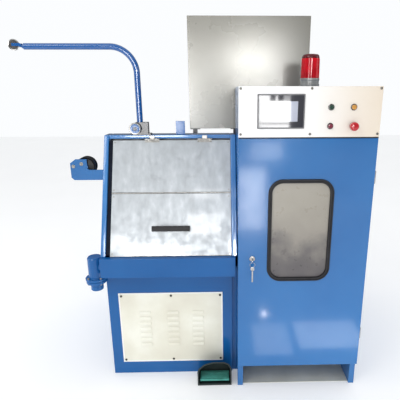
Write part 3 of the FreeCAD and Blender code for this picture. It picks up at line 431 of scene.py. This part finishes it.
rubber = finish("black_rubber", [(0.3, (0.006, 0.006, 0.008)), (0.7, (0.016, 0.016, 0.020))], 20,
                (0.45, 0.65), 250, 0.0001)
rubber.node_tree.nodes["Principled BSDF"].inputs["Specular IOR Level"].default_value = 0.3
WINDOW_CORNER = 0.070
GASKET_STEPS = ((0.0008, 0.0052), (0.0012, 0.0016), (0.0045, 0.0), (0.0012, -0.0022),
                (0.0030, 0.0), (0.0012, 0.0022), (0.0050, 0.0), (0.0016, -0.0016),
                (0.0012, -0.0060))
gasket_low, gasket_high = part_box("window_gasket")
bpy.ops.object.select_all(action="DESELECT")
bpy.ops.mesh.primitive_plane_add(
    size=1, location=((gasket_low.x + gasket_high.x) / 2, door_face, (gasket_low.z + gasket_high.z) / 2),
    rotation=(math.radians(90), 0, 0))
gasket = bpy.context.object
gasket.name = "window_gasket_profile"
gasket.scale = (gasket_high.x - gasket_low.x, gasket_high.z - gasket_low.z, 1)
bpy.ops.object.transform_apply(location=True, rotation=True, scale=True)
bpy.ops.object.mode_set(mode="EDIT")
bpy.ops.mesh.select_all(action="SELECT")
bpy.ops.mesh.bevel(offset=WINDOW_CORNER, segments=14, affect="VERTICES")
bpy.ops.object.mode_set(mode="OBJECT")
pick_faces(gasket, lambda at, normal: True)
for inwards, outwards in GASKET_STEPS:
    bpy.ops.mesh.inset(thickness=inwards, depth=outwards)
bpy.ops.mesh.delete(type="FACE")
bpy.ops.object.mode_set(mode="OBJECT")
fit(gasket, "door", rubber, ["window_gasket"], 50)

hazed_pane_painted_reflection, tree, shader, place = start_material("hazed_pane_painted_reflection")
split = tree.nodes.new("ShaderNodeSeparateXYZ")
tree.links.new(place, split.inputs["Vector"])
cloud = noise(tree, place, 8, 8)
# Painted reflection: pale blotches and a lighter upper part in the pane's colour, over its haze.
blotch_and_painted_reflection = tree.nodes.new("ShaderNodeMath")
blotch_and_painted_reflection.operation = "MULTIPLY_ADD"
blotch_and_painted_reflection.inputs[1].default_value = 0.5
tree.links.new(cloud, blotch_and_painted_reflection.inputs[0])
tree.links.new(between(tree, split.outputs["Z"], 0.0, 0.72, 0.62, 1.18), blotch_and_painted_reflection.inputs[2])
tree.links.new(tones(tree, blotch_and_painted_reflection.outputs["Value"], [
    (0.22, (0.050, 0.043, 0.052)), (0.45, (0.100, 0.090, 0.088)), (0.62, (0.255, 0.232, 0.198)),
    (0.82, (0.30, 0.275, 0.230)), (0.95, (0.315, 0.290, 0.245))]), shader.inputs["Base Color"])
tree.links.new(between(tree, noise(tree, place, 30, 5), 0.22, 0.5, 0.3, 0.7),
               shader.inputs["Roughness"])
relief(tree, shader, noise(tree, place, 12, 3), 0.0006, 0.5)
shader.inputs["Coat Weight"].default_value = 0.5
shader.inputs["Coat Roughness"].default_value = 0.12
eased("window_pane", hazed_pane_painted_reflection, 0.001)

# ---- Door lock and keys ----
# A round die-cast lock, chrome plated and pushed through the door's sheet. One key is in it, and a
# second key hangs from their ring.


def slab(name, low, high, edge=0.0015, rounds=2):
    """A block between two corners with its edges rounded over."""
    bpy.ops.object.select_all(action="DESELECT")
    bpy.ops.mesh.primitive_cube_add(size=1, location=[(a + b) / 2 for a, b in zip(low, high)],
                                    scale=[b - a for a, b in zip(low, high)])
    piece = bpy.context.object
    piece.name = name
    bpy.ops.object.transform_apply(location=True, rotation=True, scale=True)
    if edge:
        bpy.ops.object.mode_set(mode="EDIT")
        bpy.ops.mesh.select_all(action="SELECT")
        bpy.ops.mesh.bevel(offset=edge, segments=rounds, affect="EDGES")
        bpy.ops.object.mode_set(mode="OBJECT")
    return piece


chrome = finish("chrome_plate", [(0.3, (0.30, 0.295, 0.29)), (0.7, (0.55, 0.54, 0.53))], 60,
                (0.10, 0.28), 200, 0.00005, metal=1.0)
lock_low, lock_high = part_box("door_lock")
lock_x = (lock_low.x + lock_high.x) / 2
LOCK_RADIUS = 0.015
lock_z = lock_high.z - LOCK_RADIUS
rosette = turned("rosette", [(LOCK_RADIUS, 0.0), (LOCK_RADIUS, 0.003), (0.0135, 0.0055), (0.010, 0.006),
                             (0.0095, 0.0078), (0.0080, 0.008)],
                 (lock_x, door_face, lock_z), (0, -1, 0), 36)
bow = turned("bow", [(0.0095, -0.0012), (0.0105, -0.0006), (0.0105, 0.0006), (0.0095, 0.0012)],
             (lock_x, door_face - 0.0215, lock_z - 0.004), (1, 0, 0), 28)
blade = slab("blade", (lock_x - 0.001, door_face - 0.013, lock_z - 0.007),
             (lock_x + 0.001, door_face - 0.006, lock_z - 0.001), 0.0005)
bpy.ops.object.select_all(action="DESELECT")
bpy.ops.mesh.primitive_torus_add(location=(lock_x, door_face - 0.027, lock_z - 0.022),
                                 rotation=(math.radians(90), 0, 0), major_radius=0.0125,
                                 minor_radius=0.0011, major_segments=40, minor_segments=10)
key_ring = bpy.context.object
bpy.ops.object.transform_apply(location=True, rotation=True, scale=True)
spare_bow = turned("spare_bow", [(0.0085, -0.0012), (0.0098, -0.0006), (0.0098, 0.0006),
                                 (0.0085, 0.0012)], (lock_x, door_face - 0.027, lock_z - 0.044),
                   (0, -1, 0), 28)
spare_blade = slab("spare_blade", (lock_x - 0.0035, door_face - 0.0281, lock_low.z),
                   (lock_x + 0.0035, door_face - 0.0259, lock_z - 0.050), 0.0006)
lock = joined("door_lock_with_keys", [rosette, bow, blade, key_ring, spare_bow, spare_blade])
fit(lock, "door", chrome, ["door_lock"], 40)

# ---- Control plate and touch screen ----
# An aluminium plate sprayed white, darker and warmer towards its right, screwed to the front with six
# screws. The screen's black glass sits a little behind its grey plastic rim. A rubber strip seals
# the joint above the door.

control_white, tree, shader, place = start_material("control_plate_white")
split = tree.nodes.new("ShaderNodeSeparateXYZ")
tree.links.new(place, split.inputs["Vector"])
warm = tree.nodes.new("ShaderNodeMath")
warm.operation = "MULTIPLY_ADD"
warm.inputs[1].default_value = 0.2
tree.links.new(noise(tree, place, 6, 4), warm.inputs[0])
tree.links.new(between(tree, split.outputs["X"], 0.0, 0.85, 0.40, 0.89), warm.inputs[2])
tree.links.new(tones(tree, warm.outputs["Value"], [
    (0.10, (0.90, 0.90, 0.91)), (0.40, (0.82, 0.805, 0.785)), (0.75, (0.78, 0.71, 0.62)),
    (0.95, (0.74, 0.645, 0.53))]), shader.inputs["Base Color"])
tree.links.new(between(tree, noise(tree, place, 40, 3), 0.28, 0.42), shader.inputs["Roughness"])
relief(tree, shader, noise(tree, place, 500, 2), 0.00006, 0.4)
eased("control_plate", control_white, 0.001, 3)
plate_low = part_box("control_plate")[0]
plate_face = plate_low.y
screws("control_plate_screws", "frame",
       [(cabinet_left + x, plate_face, z) for x in (0.0096, 0.328, 0.640) for z in (1.388, 1.590)],
       0.0058, material=dull_zinc)

SEAL_BOTTOM = 1.3684
SEAL_TOP = 1.3738
SEAL_FRONT = -0.5224
SEAL_BACK = -0.5190
seal = slab("door_head_seal", (cabinet_left + 0.001, SEAL_FRONT, SEAL_BOTTOM),
            (cabinet_left + 0.649, SEAL_BACK, SEAL_TOP), 0.001)
fit(seal, "frame", rubber)

rim_plastic = finish("screen_rim_plastic", [(0.3, (0.085, 0.085, 0.092)), (0.7, (0.13, 0.13, 0.14))],
                     30, (0.35, 0.5), 600, 0.00005)
screen_glass, tree, shader, place = start_material("screen_glass")
tree.links.new(tones(tree, noise(tree, place, 5, 3), [(0.3, (0.020, 0.020, 0.026)),
                                                   (0.7, (0.045, 0.045, 0.055))]),
               shader.inputs["Base Color"])
tree.links.new(between(tree, noise(tree, place, 8, 3), 0.03, 0.08), shader.inputs["Roughness"])
shader.inputs["Specular IOR Level"].default_value = 0.9
display_glass = finish("screen_display", [(0.3, (0.40, 0.42, 0.50)), (0.7, (0.50, 0.53, 0.62))], 4,
                       (0.05, 0.10), 60, 0.00002, coat=0.6)
screen_low, screen_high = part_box("touch_screen")
RIM = 0.003
DISPLAY_INSET = 0.026
screen = slab("touch_screen_panel", screen_low, screen_high, 0.002, 3)
pick_faces(screen, lambda at, normal: normal.y < -0.99 and at.y < screen_low.y + 0.0005)
bpy.ops.mesh.inset(thickness=RIM, depth=0)
bpy.ops.mesh.inset(thickness=0.0008, depth=-0.0010)
bpy.ops.object.mode_set(mode="OBJECT")
for material in (rim_plastic, screen_glass, display_glass):
    screen.data.materials.append(material)
for face in screen.data.polygons:
    if face.normal.y < -0.99 and face.area > 0.01:
        face.material_index = 1
pick_faces(screen, lambda at, normal: normal.y < -0.99 and abs(at.y - screen_low.y) > 0.0008
           and abs(at.y - screen_low.y) < 0.003)
bpy.ops.mesh.inset(thickness=DISPLAY_INSET, depth=0)
bpy.ops.object.mode_set(mode="OBJECT")
for face in screen.data.polygons:
    if face.select:
        face.material_index = 2
fit(screen, "frame", rim_plastic, ["touch_screen"])

# ---- Buttons and emergency stop ----
# Moulded plastic push buttons of 22 mm in chromed bezels, held by nuts behind the plate. The
# emergency stop is a red mushroom head on a short neck.

dark_chrome = finish("dark_chrome", [(0.3, (0.045, 0.045, 0.045)), (0.7, (0.11, 0.108, 0.105))], 60,
                     (0.15, 0.3), 200, 0.00005, metal=1.0)


def button(node, colour, rings):
    """A button's coloured cap, turned as one piece, on its chromed bezel."""
    low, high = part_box(node)
    at = ((low.x + high.x) / 2, plate_face, (low.z + high.z) / 2)
    gloss = finish(node + "_plastic", [(0.3, colour), (0.7, [1.25 * part for part in colour])], 40,
                   (0.12, 0.25), 300, 0.00003, coat=0.5)
    fit(turned(node + "_cap", rings, at, (0, -1, 0), 40), "frame", gloss, [node], 40)
    bezel = turned(node + "_bezel", [(0.0145, -0.0002), (0.0145, 0.0022), (0.0135, 0.0038),
                                     (0.0118, 0.0040), (0.0114, 0.0030)], at, (0, -1, 0), 40)
    fit(bezel, "frame", dark_chrome, smooth=30)


FLAT_CAP = [(0.0108, -0.020), (0.0108, 0.0085), (0.0100, 0.0097), (0.0088, 0.0100), (0.0080, 0.0092),
            (0.0040, 0.0090)]
MUSHROOM = [(0.0110, -0.020), (0.0110, 0.014), (0.0125, 0.016), (0.0190, 0.0165), (0.0200, 0.0185),
            (0.0199, 0.0325), (0.0186, 0.0370), (0.0150, 0.0400), (0.0095, 0.0415), (0.0040, 0.0420)]
button("start_button", (0.010, 0.038, 0.024), FLAT_CAP)
button("reset_button", (0.52, 0.25, 0.050), FLAT_CAP)
button("stop_button", (0.17, 0.014, 0.035), FLAT_CAP)
button("emergency_stop", (0.42, 0.006, 0.014), MUSHROOM)

# ---- Warning beacon ----
# A grey moulded base bolted to the cabinet's roof, with a ribbed dome of red plastic screwed onto
# it. The dome's crown is painted a darker red as painted shade.

beacon_low, beacon_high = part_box("beacon_base")
beacon_at = ((beacon_low.x + beacon_high.x) / 2, (beacon_low.y + beacon_high.y) / 2, beacon_low.z)
grey_plastic = finish("beacon_grey_plastic", [(0.3, (0.20, 0.20, 0.185)), (0.7, (0.30, 0.30, 0.28))],
                      30, (0.25, 0.4), 300, 0.00008)
beacon_base = turned("beacon_base_turned", [
    (0.0440, 0.0), (0.0450, 0.002), (0.0450, 0.010), (0.0425, 0.012), (0.0425, 0.026),
    (0.0445, 0.028), (0.0445, 0.035), (0.0430, 0.037)], beacon_at, sides=48)
fit(beacon_base, "frame", grey_plastic, ["beacon_base"], 30)

red_lens, tree, shader, place = start_material("beacon_red_lens")
tree.links.new(tones(tree, noise(tree, place, 24, 4), [(0.3, (0.34, 0.002, 0.008)),
                                                      (0.7, (0.66, 0.006, 0.016))]),
               shader.inputs["Base Color"])
tree.links.new(between(tree, noise(tree, place, 60, 3), 0.08, 0.2), shader.inputs["Roughness"])
shader.inputs["Specular IOR Level"].default_value = 0.3
RIBS = 22
CROWN_FOOT = 0.0885
dome_at = (beacon_at[0], beacon_at[1], beacon_high.z)
dome = turned("beacon_dome_ribbed", [
    (0.0415, 0.0), (0.0414, 0.020), (0.0411, 0.042), (0.0408, 0.064), (0.0404, 0.088),
    (0.0396, 0.095), (0.0372, 0.1015), (0.0330, 0.1055), (0.0200, 0.1075), (0.0080, 0.108)],
    dome_at, sides=2 * RIBS)


def on_rib(at, normal):
    """True for every second strip of the dome's straight side."""
    turn = math.atan2(at.y - dome_at[1], at.x - dome_at[0]) / (2 * math.pi) * 2 * RIBS
    return 0.001 < at.z - dome_at[2] < 0.086 and int(math.floor(turn + 0.001)) % 2 == 0


pick_faces(dome, on_rib)
bpy.ops.mesh.inset(thickness=0.0008, depth=0.0013)
bpy.ops.object.mode_set(mode="OBJECT")
# Painted shade: the crown of the dome, above its straight side, is coloured a darker red.
crown_painted_shade = finish("beacon_crown_painted_shade", [(0.3, (0.060, 0.001, 0.004)), (0.7, (0.12, 0.002, 0.006))], 30,
                  (0.15, 0.3), 300, 0.00004)
dome.data.materials.append(red_lens)
dome.data.materials.append(crown_painted_shade)
for face in dome.data.polygons:
    if face.center.z - dome_at[2] > CROWN_FOOT:
        face.material_index = 1
fit(dome, "frame", red_lens, ["beacon_dome"], 45)

# ---- Base cover plate ----
# Sheet steel sprayed cream, its edges folded back, with three columns of pressed louvres and six
# dark screws. The folded rim is painted a paler cream as a painted highlight.

cream_paint = finish("cream_paint", [(0.30, (0.72, 0.69, 0.575)), (0.50, (0.77, 0.75, 0.635)),
                                     (0.70, (0.85, 0.84, 0.74))], 5, (0.30, 0.42), 400, 0.00006)
# Painted highlight: a paler cream for the folded rim round the plate's face.
edge_painted_highlight = finish("cream_paint_edge_painted_highlight", [(0.3, (0.84, 0.84, 0.80)), (0.7, (0.90, 0.90, 0.87))], 30,
                   (0.25, 0.4), 400, 0.00004)
cover_low, cover_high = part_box("base_cover_plate")
cover_plate = slab("base_cover_plate_folded", cover_low, cover_high, 0.0012)
pick_faces(cover_plate, lambda at, normal: normal.y < -0.99)
bpy.ops.mesh.inset(thickness=0.0045, depth=0)
bpy.ops.mesh.inset(thickness=0.0015, depth=-0.0009)
bpy.ops.object.mode_set(mode="OBJECT")
cover_plate.data.materials.append(cream_paint)
cover_plate.data.materials.append(edge_painted_highlight)
for face in cover_plate.data.polygons:
    if not face.select:
        face.material_index = 1
fit(cover_plate, "frame", cream_paint, ["base_cover_plate"], 25)

LOUVRE_PITCH = 0.0336
LOUVRE_PROUD = 0.006
LOWEST_LOUVRE = 0.190
LOUVRE_COLUMNS = (-0.510, -0.356, -0.218)
louvre_low = (-0.033, cover_low.y - LOUVRE_PROUD, -0.0075)
louvre = slab("louvre", louvre_low, (0.033, cover_low.y + 0.001, 0.0075), 0)
pick_faces(louvre, lambda at, normal: normal.z > 0.9)
bpy.ops.transform.resize(value=(0.96, 0.35, 1), center_override=(0, cover_low.y + 0.001, 0.0075))
bpy.ops.mesh.select_all(action="SELECT")
bpy.ops.mesh.bevel(offset=0.0022, segments=3, affect="EDGES")
bpy.ops.object.mode_set(mode="OBJECT")
pick_faces(louvre, lambda at, normal: normal.z < -0.9)
bpy.ops.mesh.inset(thickness=0.0006, depth=0)
bpy.ops.mesh.inset(thickness=0.0002, depth=-0.003)
bpy.ops.object.mode_set(mode="OBJECT")
shadow_black = finish("vent_shadow", [(0.3, (0.10, 0.095, 0.08)), (0.7, (0.16, 0.15, 0.13))], 20,
                      (0.6, 0.8), 100, 0.0001)
louvre.data.materials.append(cream_paint)
louvre.data.materials.append(shadow_black)
for face in louvre.data.polygons:
    if face.select:
        face.material_index = 1
louvres = copies(louvre, "base_cover_louvres", [
    (cabinet_left + x, 0, LOWEST_LOUVRE + row * LOUVRE_PITCH)
    for x in LOUVRE_COLUMNS for row in range(7)])
fit(louvres, "frame", cream_paint)
screws("base_cover_screws", "frame",
       [(cabinet_left + x, cover_low.y, z) for x in (-0.635, -0.363, -0.093) for z in (0.092, 0.496)],
       0.0062, material=oxide)

# ---- Stainless covers ----
# Two folded pans of thin stainless sheet, cloudy from handling, joined by a piano hinge and hung on
# two small butt hinges. A dark rubber strip seals them at the left; its navy-black colour is painted
# shade for the gap beside the post.

stainless, tree, shader, place = start_material("stainless_sheet")
cloud = noise(tree, place, 26, 9, (1, 0.6, 0.45))
tree.links.new(tones(tree, cloud, [(0.30, (0.33, 0.350, 0.365)), (0.50, (0.38, 0.405, 0.425)),
                                   (0.62, (0.42, 0.445, 0.465)), (0.74, (0.49, 0.515, 0.540))]),
               shader.inputs["Base Color"])
tree.links.new(between(tree, noise(tree, place, 26, 7), 0.28, 0.60, 0.3, 0.7),
               shader.inputs["Roughness"])
relief(tree, shader, noise(tree, place, 55, 6), 0.0004, 0.5)
shader.inputs["Metallic"].default_value = 0.35
shader.inputs["Coat Weight"].default_value = 0.5
shader.inputs["Coat Roughness"].default_value = 0.05
for node in ("lower_cover", "upper_cover"):
    eased(node, stainless, 0.0009, 3)
eased("chamber_back_plate", stainless, 0.001)
# Painted shade: the seal at the covers' left is coloured navy-black for the shaded gap beside the post.
seal_painted_shade = finish("cover_seal_painted_shade", [(0.3, (0.004, 0.007, 0.016)), (0.7, (0.010, 0.014, 0.030))],
                     20, (0.6, 0.8), 250, 0.0001)
seal_painted_shade.node_tree.nodes["Principled BSDF"].inputs["Specular IOR Level"].default_value = 0.1
eased("cover_seal", seal_painted_shade, 0.001)
for node in ("cover_hinges", "cover_knuckles"):
    eased(node, zinc, 0.0005)

CHAMBER_RUN = 0.254
CHAMBER_RISE = 0.591
COVER_RECESS = 0.006
LEAN = math.atan2(CHAMBER_RUN, CHAMBER_RISE)
COVER_FOOT = Vector((cabinet_left, -0.464, 0.763))


def lean_spots(spots):
    """Points on the covers' face, given as distance across and up the slope."""
    up = Vector((0, math.sin(LEAN), math.cos(LEAN)))
    inwards = Vector((0, math.cos(LEAN), -math.sin(LEAN)))
    return [COVER_FOOT + Vector((x, 0, 0)) + up * z + inwards * COVER_RECESS for x, z in spots]


OUT_OF_COVER = (0, -math.cos(LEAN), math.sin(LEAN))
COVER_SIDES = (-0.641, -0.042)
COVER_SCREW = 0.004
for name, flap, rises in (("lower_cover_screws", "lower_flap", (0.018, 0.312)),
                          ("upper_cover_screws", "upper_flap", (0.348, 0.604))):
    screws(name, flap, lean_spots([(x, z) for x in COVER_SIDES for z in rises]),
           COVER_SCREW, OUT_OF_COVER)
screws("cover_hinge_screws", "upper_flap",
       [at + Vector(OUT_OF_COVER) * 0.002
        for at in lean_spots([(x, 0.611) for x in (-0.476, -0.446, -0.416, -0.197, -0.167, -0.137)])],
       0.0024, OUT_OF_COVER)

black_plastic = finish("black_plastic", [(0.3, (0.006, 0.006, 0.007)), (0.7, (0.014, 0.014, 0.016))],
                       25, (0.35, 0.5), 300, 0.00008)
black_plastic.node_tree.nodes["Principled BSDF"].inputs["Specular IOR Level"].default_value = 0.22
eased("cover_handle", black_plastic, 0.005, 3)
screws("cover_handle_screws", "lower_flap",
       [at + Vector(OUT_OF_COVER) * 0.024
        for at in lean_spots([(x, 0.135) for x in (-0.430, -0.251)])],
       0.0038, OUT_OF_COVER)

# ---- Guide arm, its wheels and the inlet roller ----
# A bent steel pipe in the blue enamel, painted darker as painted shade, clamped in a black foot
# block. Small grooved steel wheels at its foot and tip and a large black roller on a welded plate
# lead the wire in.

# Painted shade: a darker copy of the blue enamel for the arm and its tip fork.
arm_painted_shade_enamel = enamel("arm_blue_enamel_with_painted_shade", (0.003, 0.066, 0.260), (0.009, 0.105, 0.350), 0.7)
eased("guide_arm", arm_painted_shade_enamel, 0.0015)
eased("arm_tip_fork", arm_painted_shade_enamel, 0.0008)
eased("inlet_bracket", blue_enamel, 0.0015)
black_steel = finish("black_painted_steel", [(0.3, (0.008, 0.008, 0.010)), (0.7, (0.020, 0.020, 0.026))],
                     30, (0.22, 0.42), 250, 0.0001, coat=0.3)
eased("arm_foot_bracket", black_steel, 0.0025, 3)


def wheel(node, material, groove, bore, rim=0.0015):
    """A grooved wheel turned about Y, hollow at its bore."""
    low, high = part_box(node)
    radius = (high.x - low.x) / 2
    half = (high.y - low.y) / 2
    at = ((low.x + high.x) / 2, (low.y + high.y) / 2, (low.z + high.z) / 2)
    hub = bore * 1.9
    rings = [(bore, -half), (hub, -half), (hub * 1.05, -half + 0.0008),
             (radius * 0.80, -half * 0.80),
             (radius - rim, -half), (radius, -half + rim), (radius, -groove),
             (radius - groove * 0.62, -groove * 0.45), (radius - groove * 0.75, 0),
             (radius - groove * 0.62, groove * 0.45), (radius, groove),
             (radius, half - rim), (radius - rim, half), (radius * 0.80, half * 0.80),
             (hub * 1.05, half - 0.0008), (hub, half), (bore, half)]
    piece = turned(node + "_turned", rings, at, (0, 1, 0), 48)
    pick_faces(piece, lambda spot, normal: abs(normal.y) > 0.99
               and math.hypot(spot.x - at[0], spot.z - at[2]) < bore * 0.2)
    bpy.ops.mesh.delete(type="FACE")
    bpy.ops.mesh.select_mode(type="EDGE")
    bpy.ops.mesh.select_all(action="DESELECT")
    bpy.ops.mesh.select_non_manifold()
    bpy.ops.mesh.bridge_edge_loops()
    bpy.ops.mesh.select_all(action="SELECT")
    bpy.ops.mesh.normals_make_consistent(inside=False)
    bpy.ops.object.mode_set(mode="OBJECT")
    return fit(piece, frame["nodes"][node]["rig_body"], material, [node], 35)


wheel("arm_tip_wheel", chrome, 0.0038, 0.0031)
foot_wheel = wheel("arm_foot_wheel", zinc, 0.0048, 0.0051)
# The ring between hub and rim takes the darker blue enamel that is painted shade.
foot_wheel.data.materials.append(painted_shade_enamel)
wheel_low, wheel_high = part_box("arm_foot_wheel")
wheel_x = (wheel_low.x + wheel_high.x) / 2
wheel_z = (wheel_low.z + wheel_high.z) / 2
HUB_REACH = 0.012
RIM_REACH = 0.0265
for face in foot_wheel.data.polygons:
    reach = math.hypot(face.center.x - wheel_x, face.center.z - wheel_z)
    if HUB_REACH < reach < RIM_REACH:
        face.material_index = 1
wheel("inlet_roller", black_plastic, 0.0120, 0.0081, 0.003)
bracket_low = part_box("inlet_bracket")[0]
bolts("inlet_bracket_bolts", "frame",
      [(cabinet_left + x, bracket_low.y, z) for x, z in ((-0.8506, 1.201), (-0.808, 1.214))])

# ---- Coolant outlet ----
# A short cast pipe in the blue enamel, painted darker as painted shade like the tray, on a branch
# from the tray's left end. Four bolts and nuts hold its pair of flanges together.

outlet_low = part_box("coolant_outlet")[0]
OUTLET_LEFT = 0.743
OUTLET_Y = -0.420
outlet_at = (cabinet_left - OUTLET_LEFT, OUTLET_Y, outlet_low.z)
outlet = turned("coolant_outlet_turned", [
    (0.030, 0.0), (0.032, 0.002), (0.032, 0.041), (0.050, 0.041), (0.052, 0.043), (0.052, 0.054),
    (0.050, 0.056), (0.0485, 0.0563), (0.0485, 0.0572), (0.053, 0.0575), (0.055, 0.0595),
    (0.055, 0.069), (0.053, 0.071), (0.040, 0.071), (0.038, 0.074), (0.038, 0.178), (0.033, 0.185),
    (0.020, 0.188)],
    outlet_at, sides=48)
branch = turned("branch", [(0.030, 0.0), (0.030, 0.042), (0.033, 0.045)],
                (outlet_at[0], outlet_at[1], 0.700), (1, 0, 0), 36)
fit(joined("coolant_outlet_pipe", [outlet, branch]), "frame", painted_shade_enamel,
    ["coolant_outlet"], 30)
BOLT_CIRCLE = 0.044
FLANGE_BOLT = 0.0055
UPPER_FLANGE_TOP = 0.071
LOWER_FLANGE_BOTTOM = 0.041
flange_spots = [(outlet_at[0] + BOLT_CIRCLE * math.cos(turn),
                 outlet_at[1] + BOLT_CIRCLE * math.sin(turn))
                for turn in [math.radians(45 + 90 * step) for step in range(4)]]
bolts("outlet_flange_bolts", "frame",
      [(x, y, outlet_low.z + UPPER_FLANGE_TOP) for x, y in flange_spots], FLANGE_BOLT, (0, 0, 1))
bolts("outlet_flange_nuts", "frame",
      [(x, y, outlet_low.z + LOWER_FLANGE_BOTTOM) for x, y in flange_spots], FLANGE_BOLT, (0, 0, -1))

# ---- Lid of the drive housing ----
# A folded pan of stainless sheet, cloudy and slightly yellowed, painted lighter lower down and darker
# at its top as a painted reflection. It stands open on four hinge blocks of black painted steel.

lid_steel, tree, shader, place = start_material("lid_steel")
split = tree.nodes.new("ShaderNodeSeparateXYZ")
tree.links.new(place, split.inputs["Vector"])
haze_and_painted_reflection = tree.nodes.new("ShaderNodeMath")
haze_and_painted_reflection.operation = "MULTIPLY_ADD"
haze_and_painted_reflection.inputs[1].default_value = 0.35
tree.links.new(noise(tree, place, 2.6, 5), haze_and_painted_reflection.inputs[0])
# Painted reflection: the lid darkens towards its top and is lighter lower down.
tree.links.new(between(tree, split.outputs["Z"], 0.45, 0.25, 1.40, 1.95), haze_and_painted_reflection.inputs[2])
tree.links.new(tones(tree, haze_and_painted_reflection.outputs["Value"], [
    (0.30, (0.165, 0.156, 0.126)), (0.50, (0.215, 0.207, 0.177)), (0.75, (0.32, 0.315, 0.290))]),
    shader.inputs["Base Color"])
tree.links.new(between(tree, noise(tree, place, 5, 4), 0.24, 0.32), shader.inputs["Roughness"])
shader.inputs["Metallic"].default_value = 0.2
shader.inputs["Coat Weight"].default_value = 0.8
shader.inputs["Coat Roughness"].default_value = 0.24
eased("rear_lid", lid_steel, 0.0009, 3)
eased("lid_hinge_blocks", black_steel, 0.0012)
eased("lid_hinge_arms", black_steel, 0.001)

# ---- Foot switch ----
# A hood of black painted steel that arches over a green rubber treadle. Raised ribs across the
# treadle give the shoe its grip.

hood_paint = finish("foot_switch_paint", [(0.3, (0.006, 0.012, 0.012)), (0.7, (0.014, 0.026, 0.024))],
                    30, (0.35, 0.5), 250, 0.0001)
treadle_green = finish("treadle_green", [(0.3, (0.045, 0.260, 0.200)), (0.7, (0.085, 0.42, 0.36))],
                       22, (0.45, 0.6), 300, 0.0002)
eased("foot_switch_case", hood_paint, 0.002, 3)
treadle_low, treadle_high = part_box("foot_pedal")
eased("foot_pedal", treadle_green, 0.002, 3)
RIB_PITCH = 0.010
RIB_INSET = 0.008
FIRST_RIB = 0.012
rib = slab("rib", (treadle_low.x + RIB_INSET, -0.0018, -0.0010),
           (treadle_high.x - RIB_INSET, 0.0018, 0.0018), 0.001)
ribs = copies(rib, "foot_pedal_ribs", [(0, treadle_low.y + FIRST_RIB + RIB_PITCH * row, treadle_high.z)
                                       for row in range(5)])
fit(ribs, "pedal", treadle_green)

# ---- Inside the machine ----
# Cast gearbox and motor on a steel floor, the stepped drawing cones in the chamber, and the take-up
# spool in the cabinet.

cast_grey = finish("cast_grey_paint", [(0.3, (0.11, 0.115, 0.12)), (0.7, (0.17, 0.175, 0.18))], 12,
                   (0.45, 0.6), 140, 0.0004)
eased("gearbox", cast_grey, 0.012, 4)
eased("main_motor", cast_grey, 0.003)
floor_grey = finish("floor_grey_paint", [(0.3, (0.56, 0.555, 0.49)), (0.7, (0.66, 0.655, 0.585))], 9,
                    (0.45, 0.65), 160, 0.0001)
eased("floor_plates", floor_grey, 0.001)
hard_steel = finish("hardened_steel", [(0.3, (0.42, 0.42, 0.43)), (0.7, (0.58, 0.58, 0.59))], 30,
                    (0.12, 0.3), 300, 0.00005, metal=1.0)
eased("drawing_cones", hard_steel, 0.0015)
spool_grey = finish("spool_grey_plastic", [(0.3, (0.22, 0.22, 0.22)), (0.7, (0.32, 0.32, 0.31))], 12,
                    (0.4, 0.55), 200, 0.0001)
eased("take_up_spool", spool_grey, 0.0015)
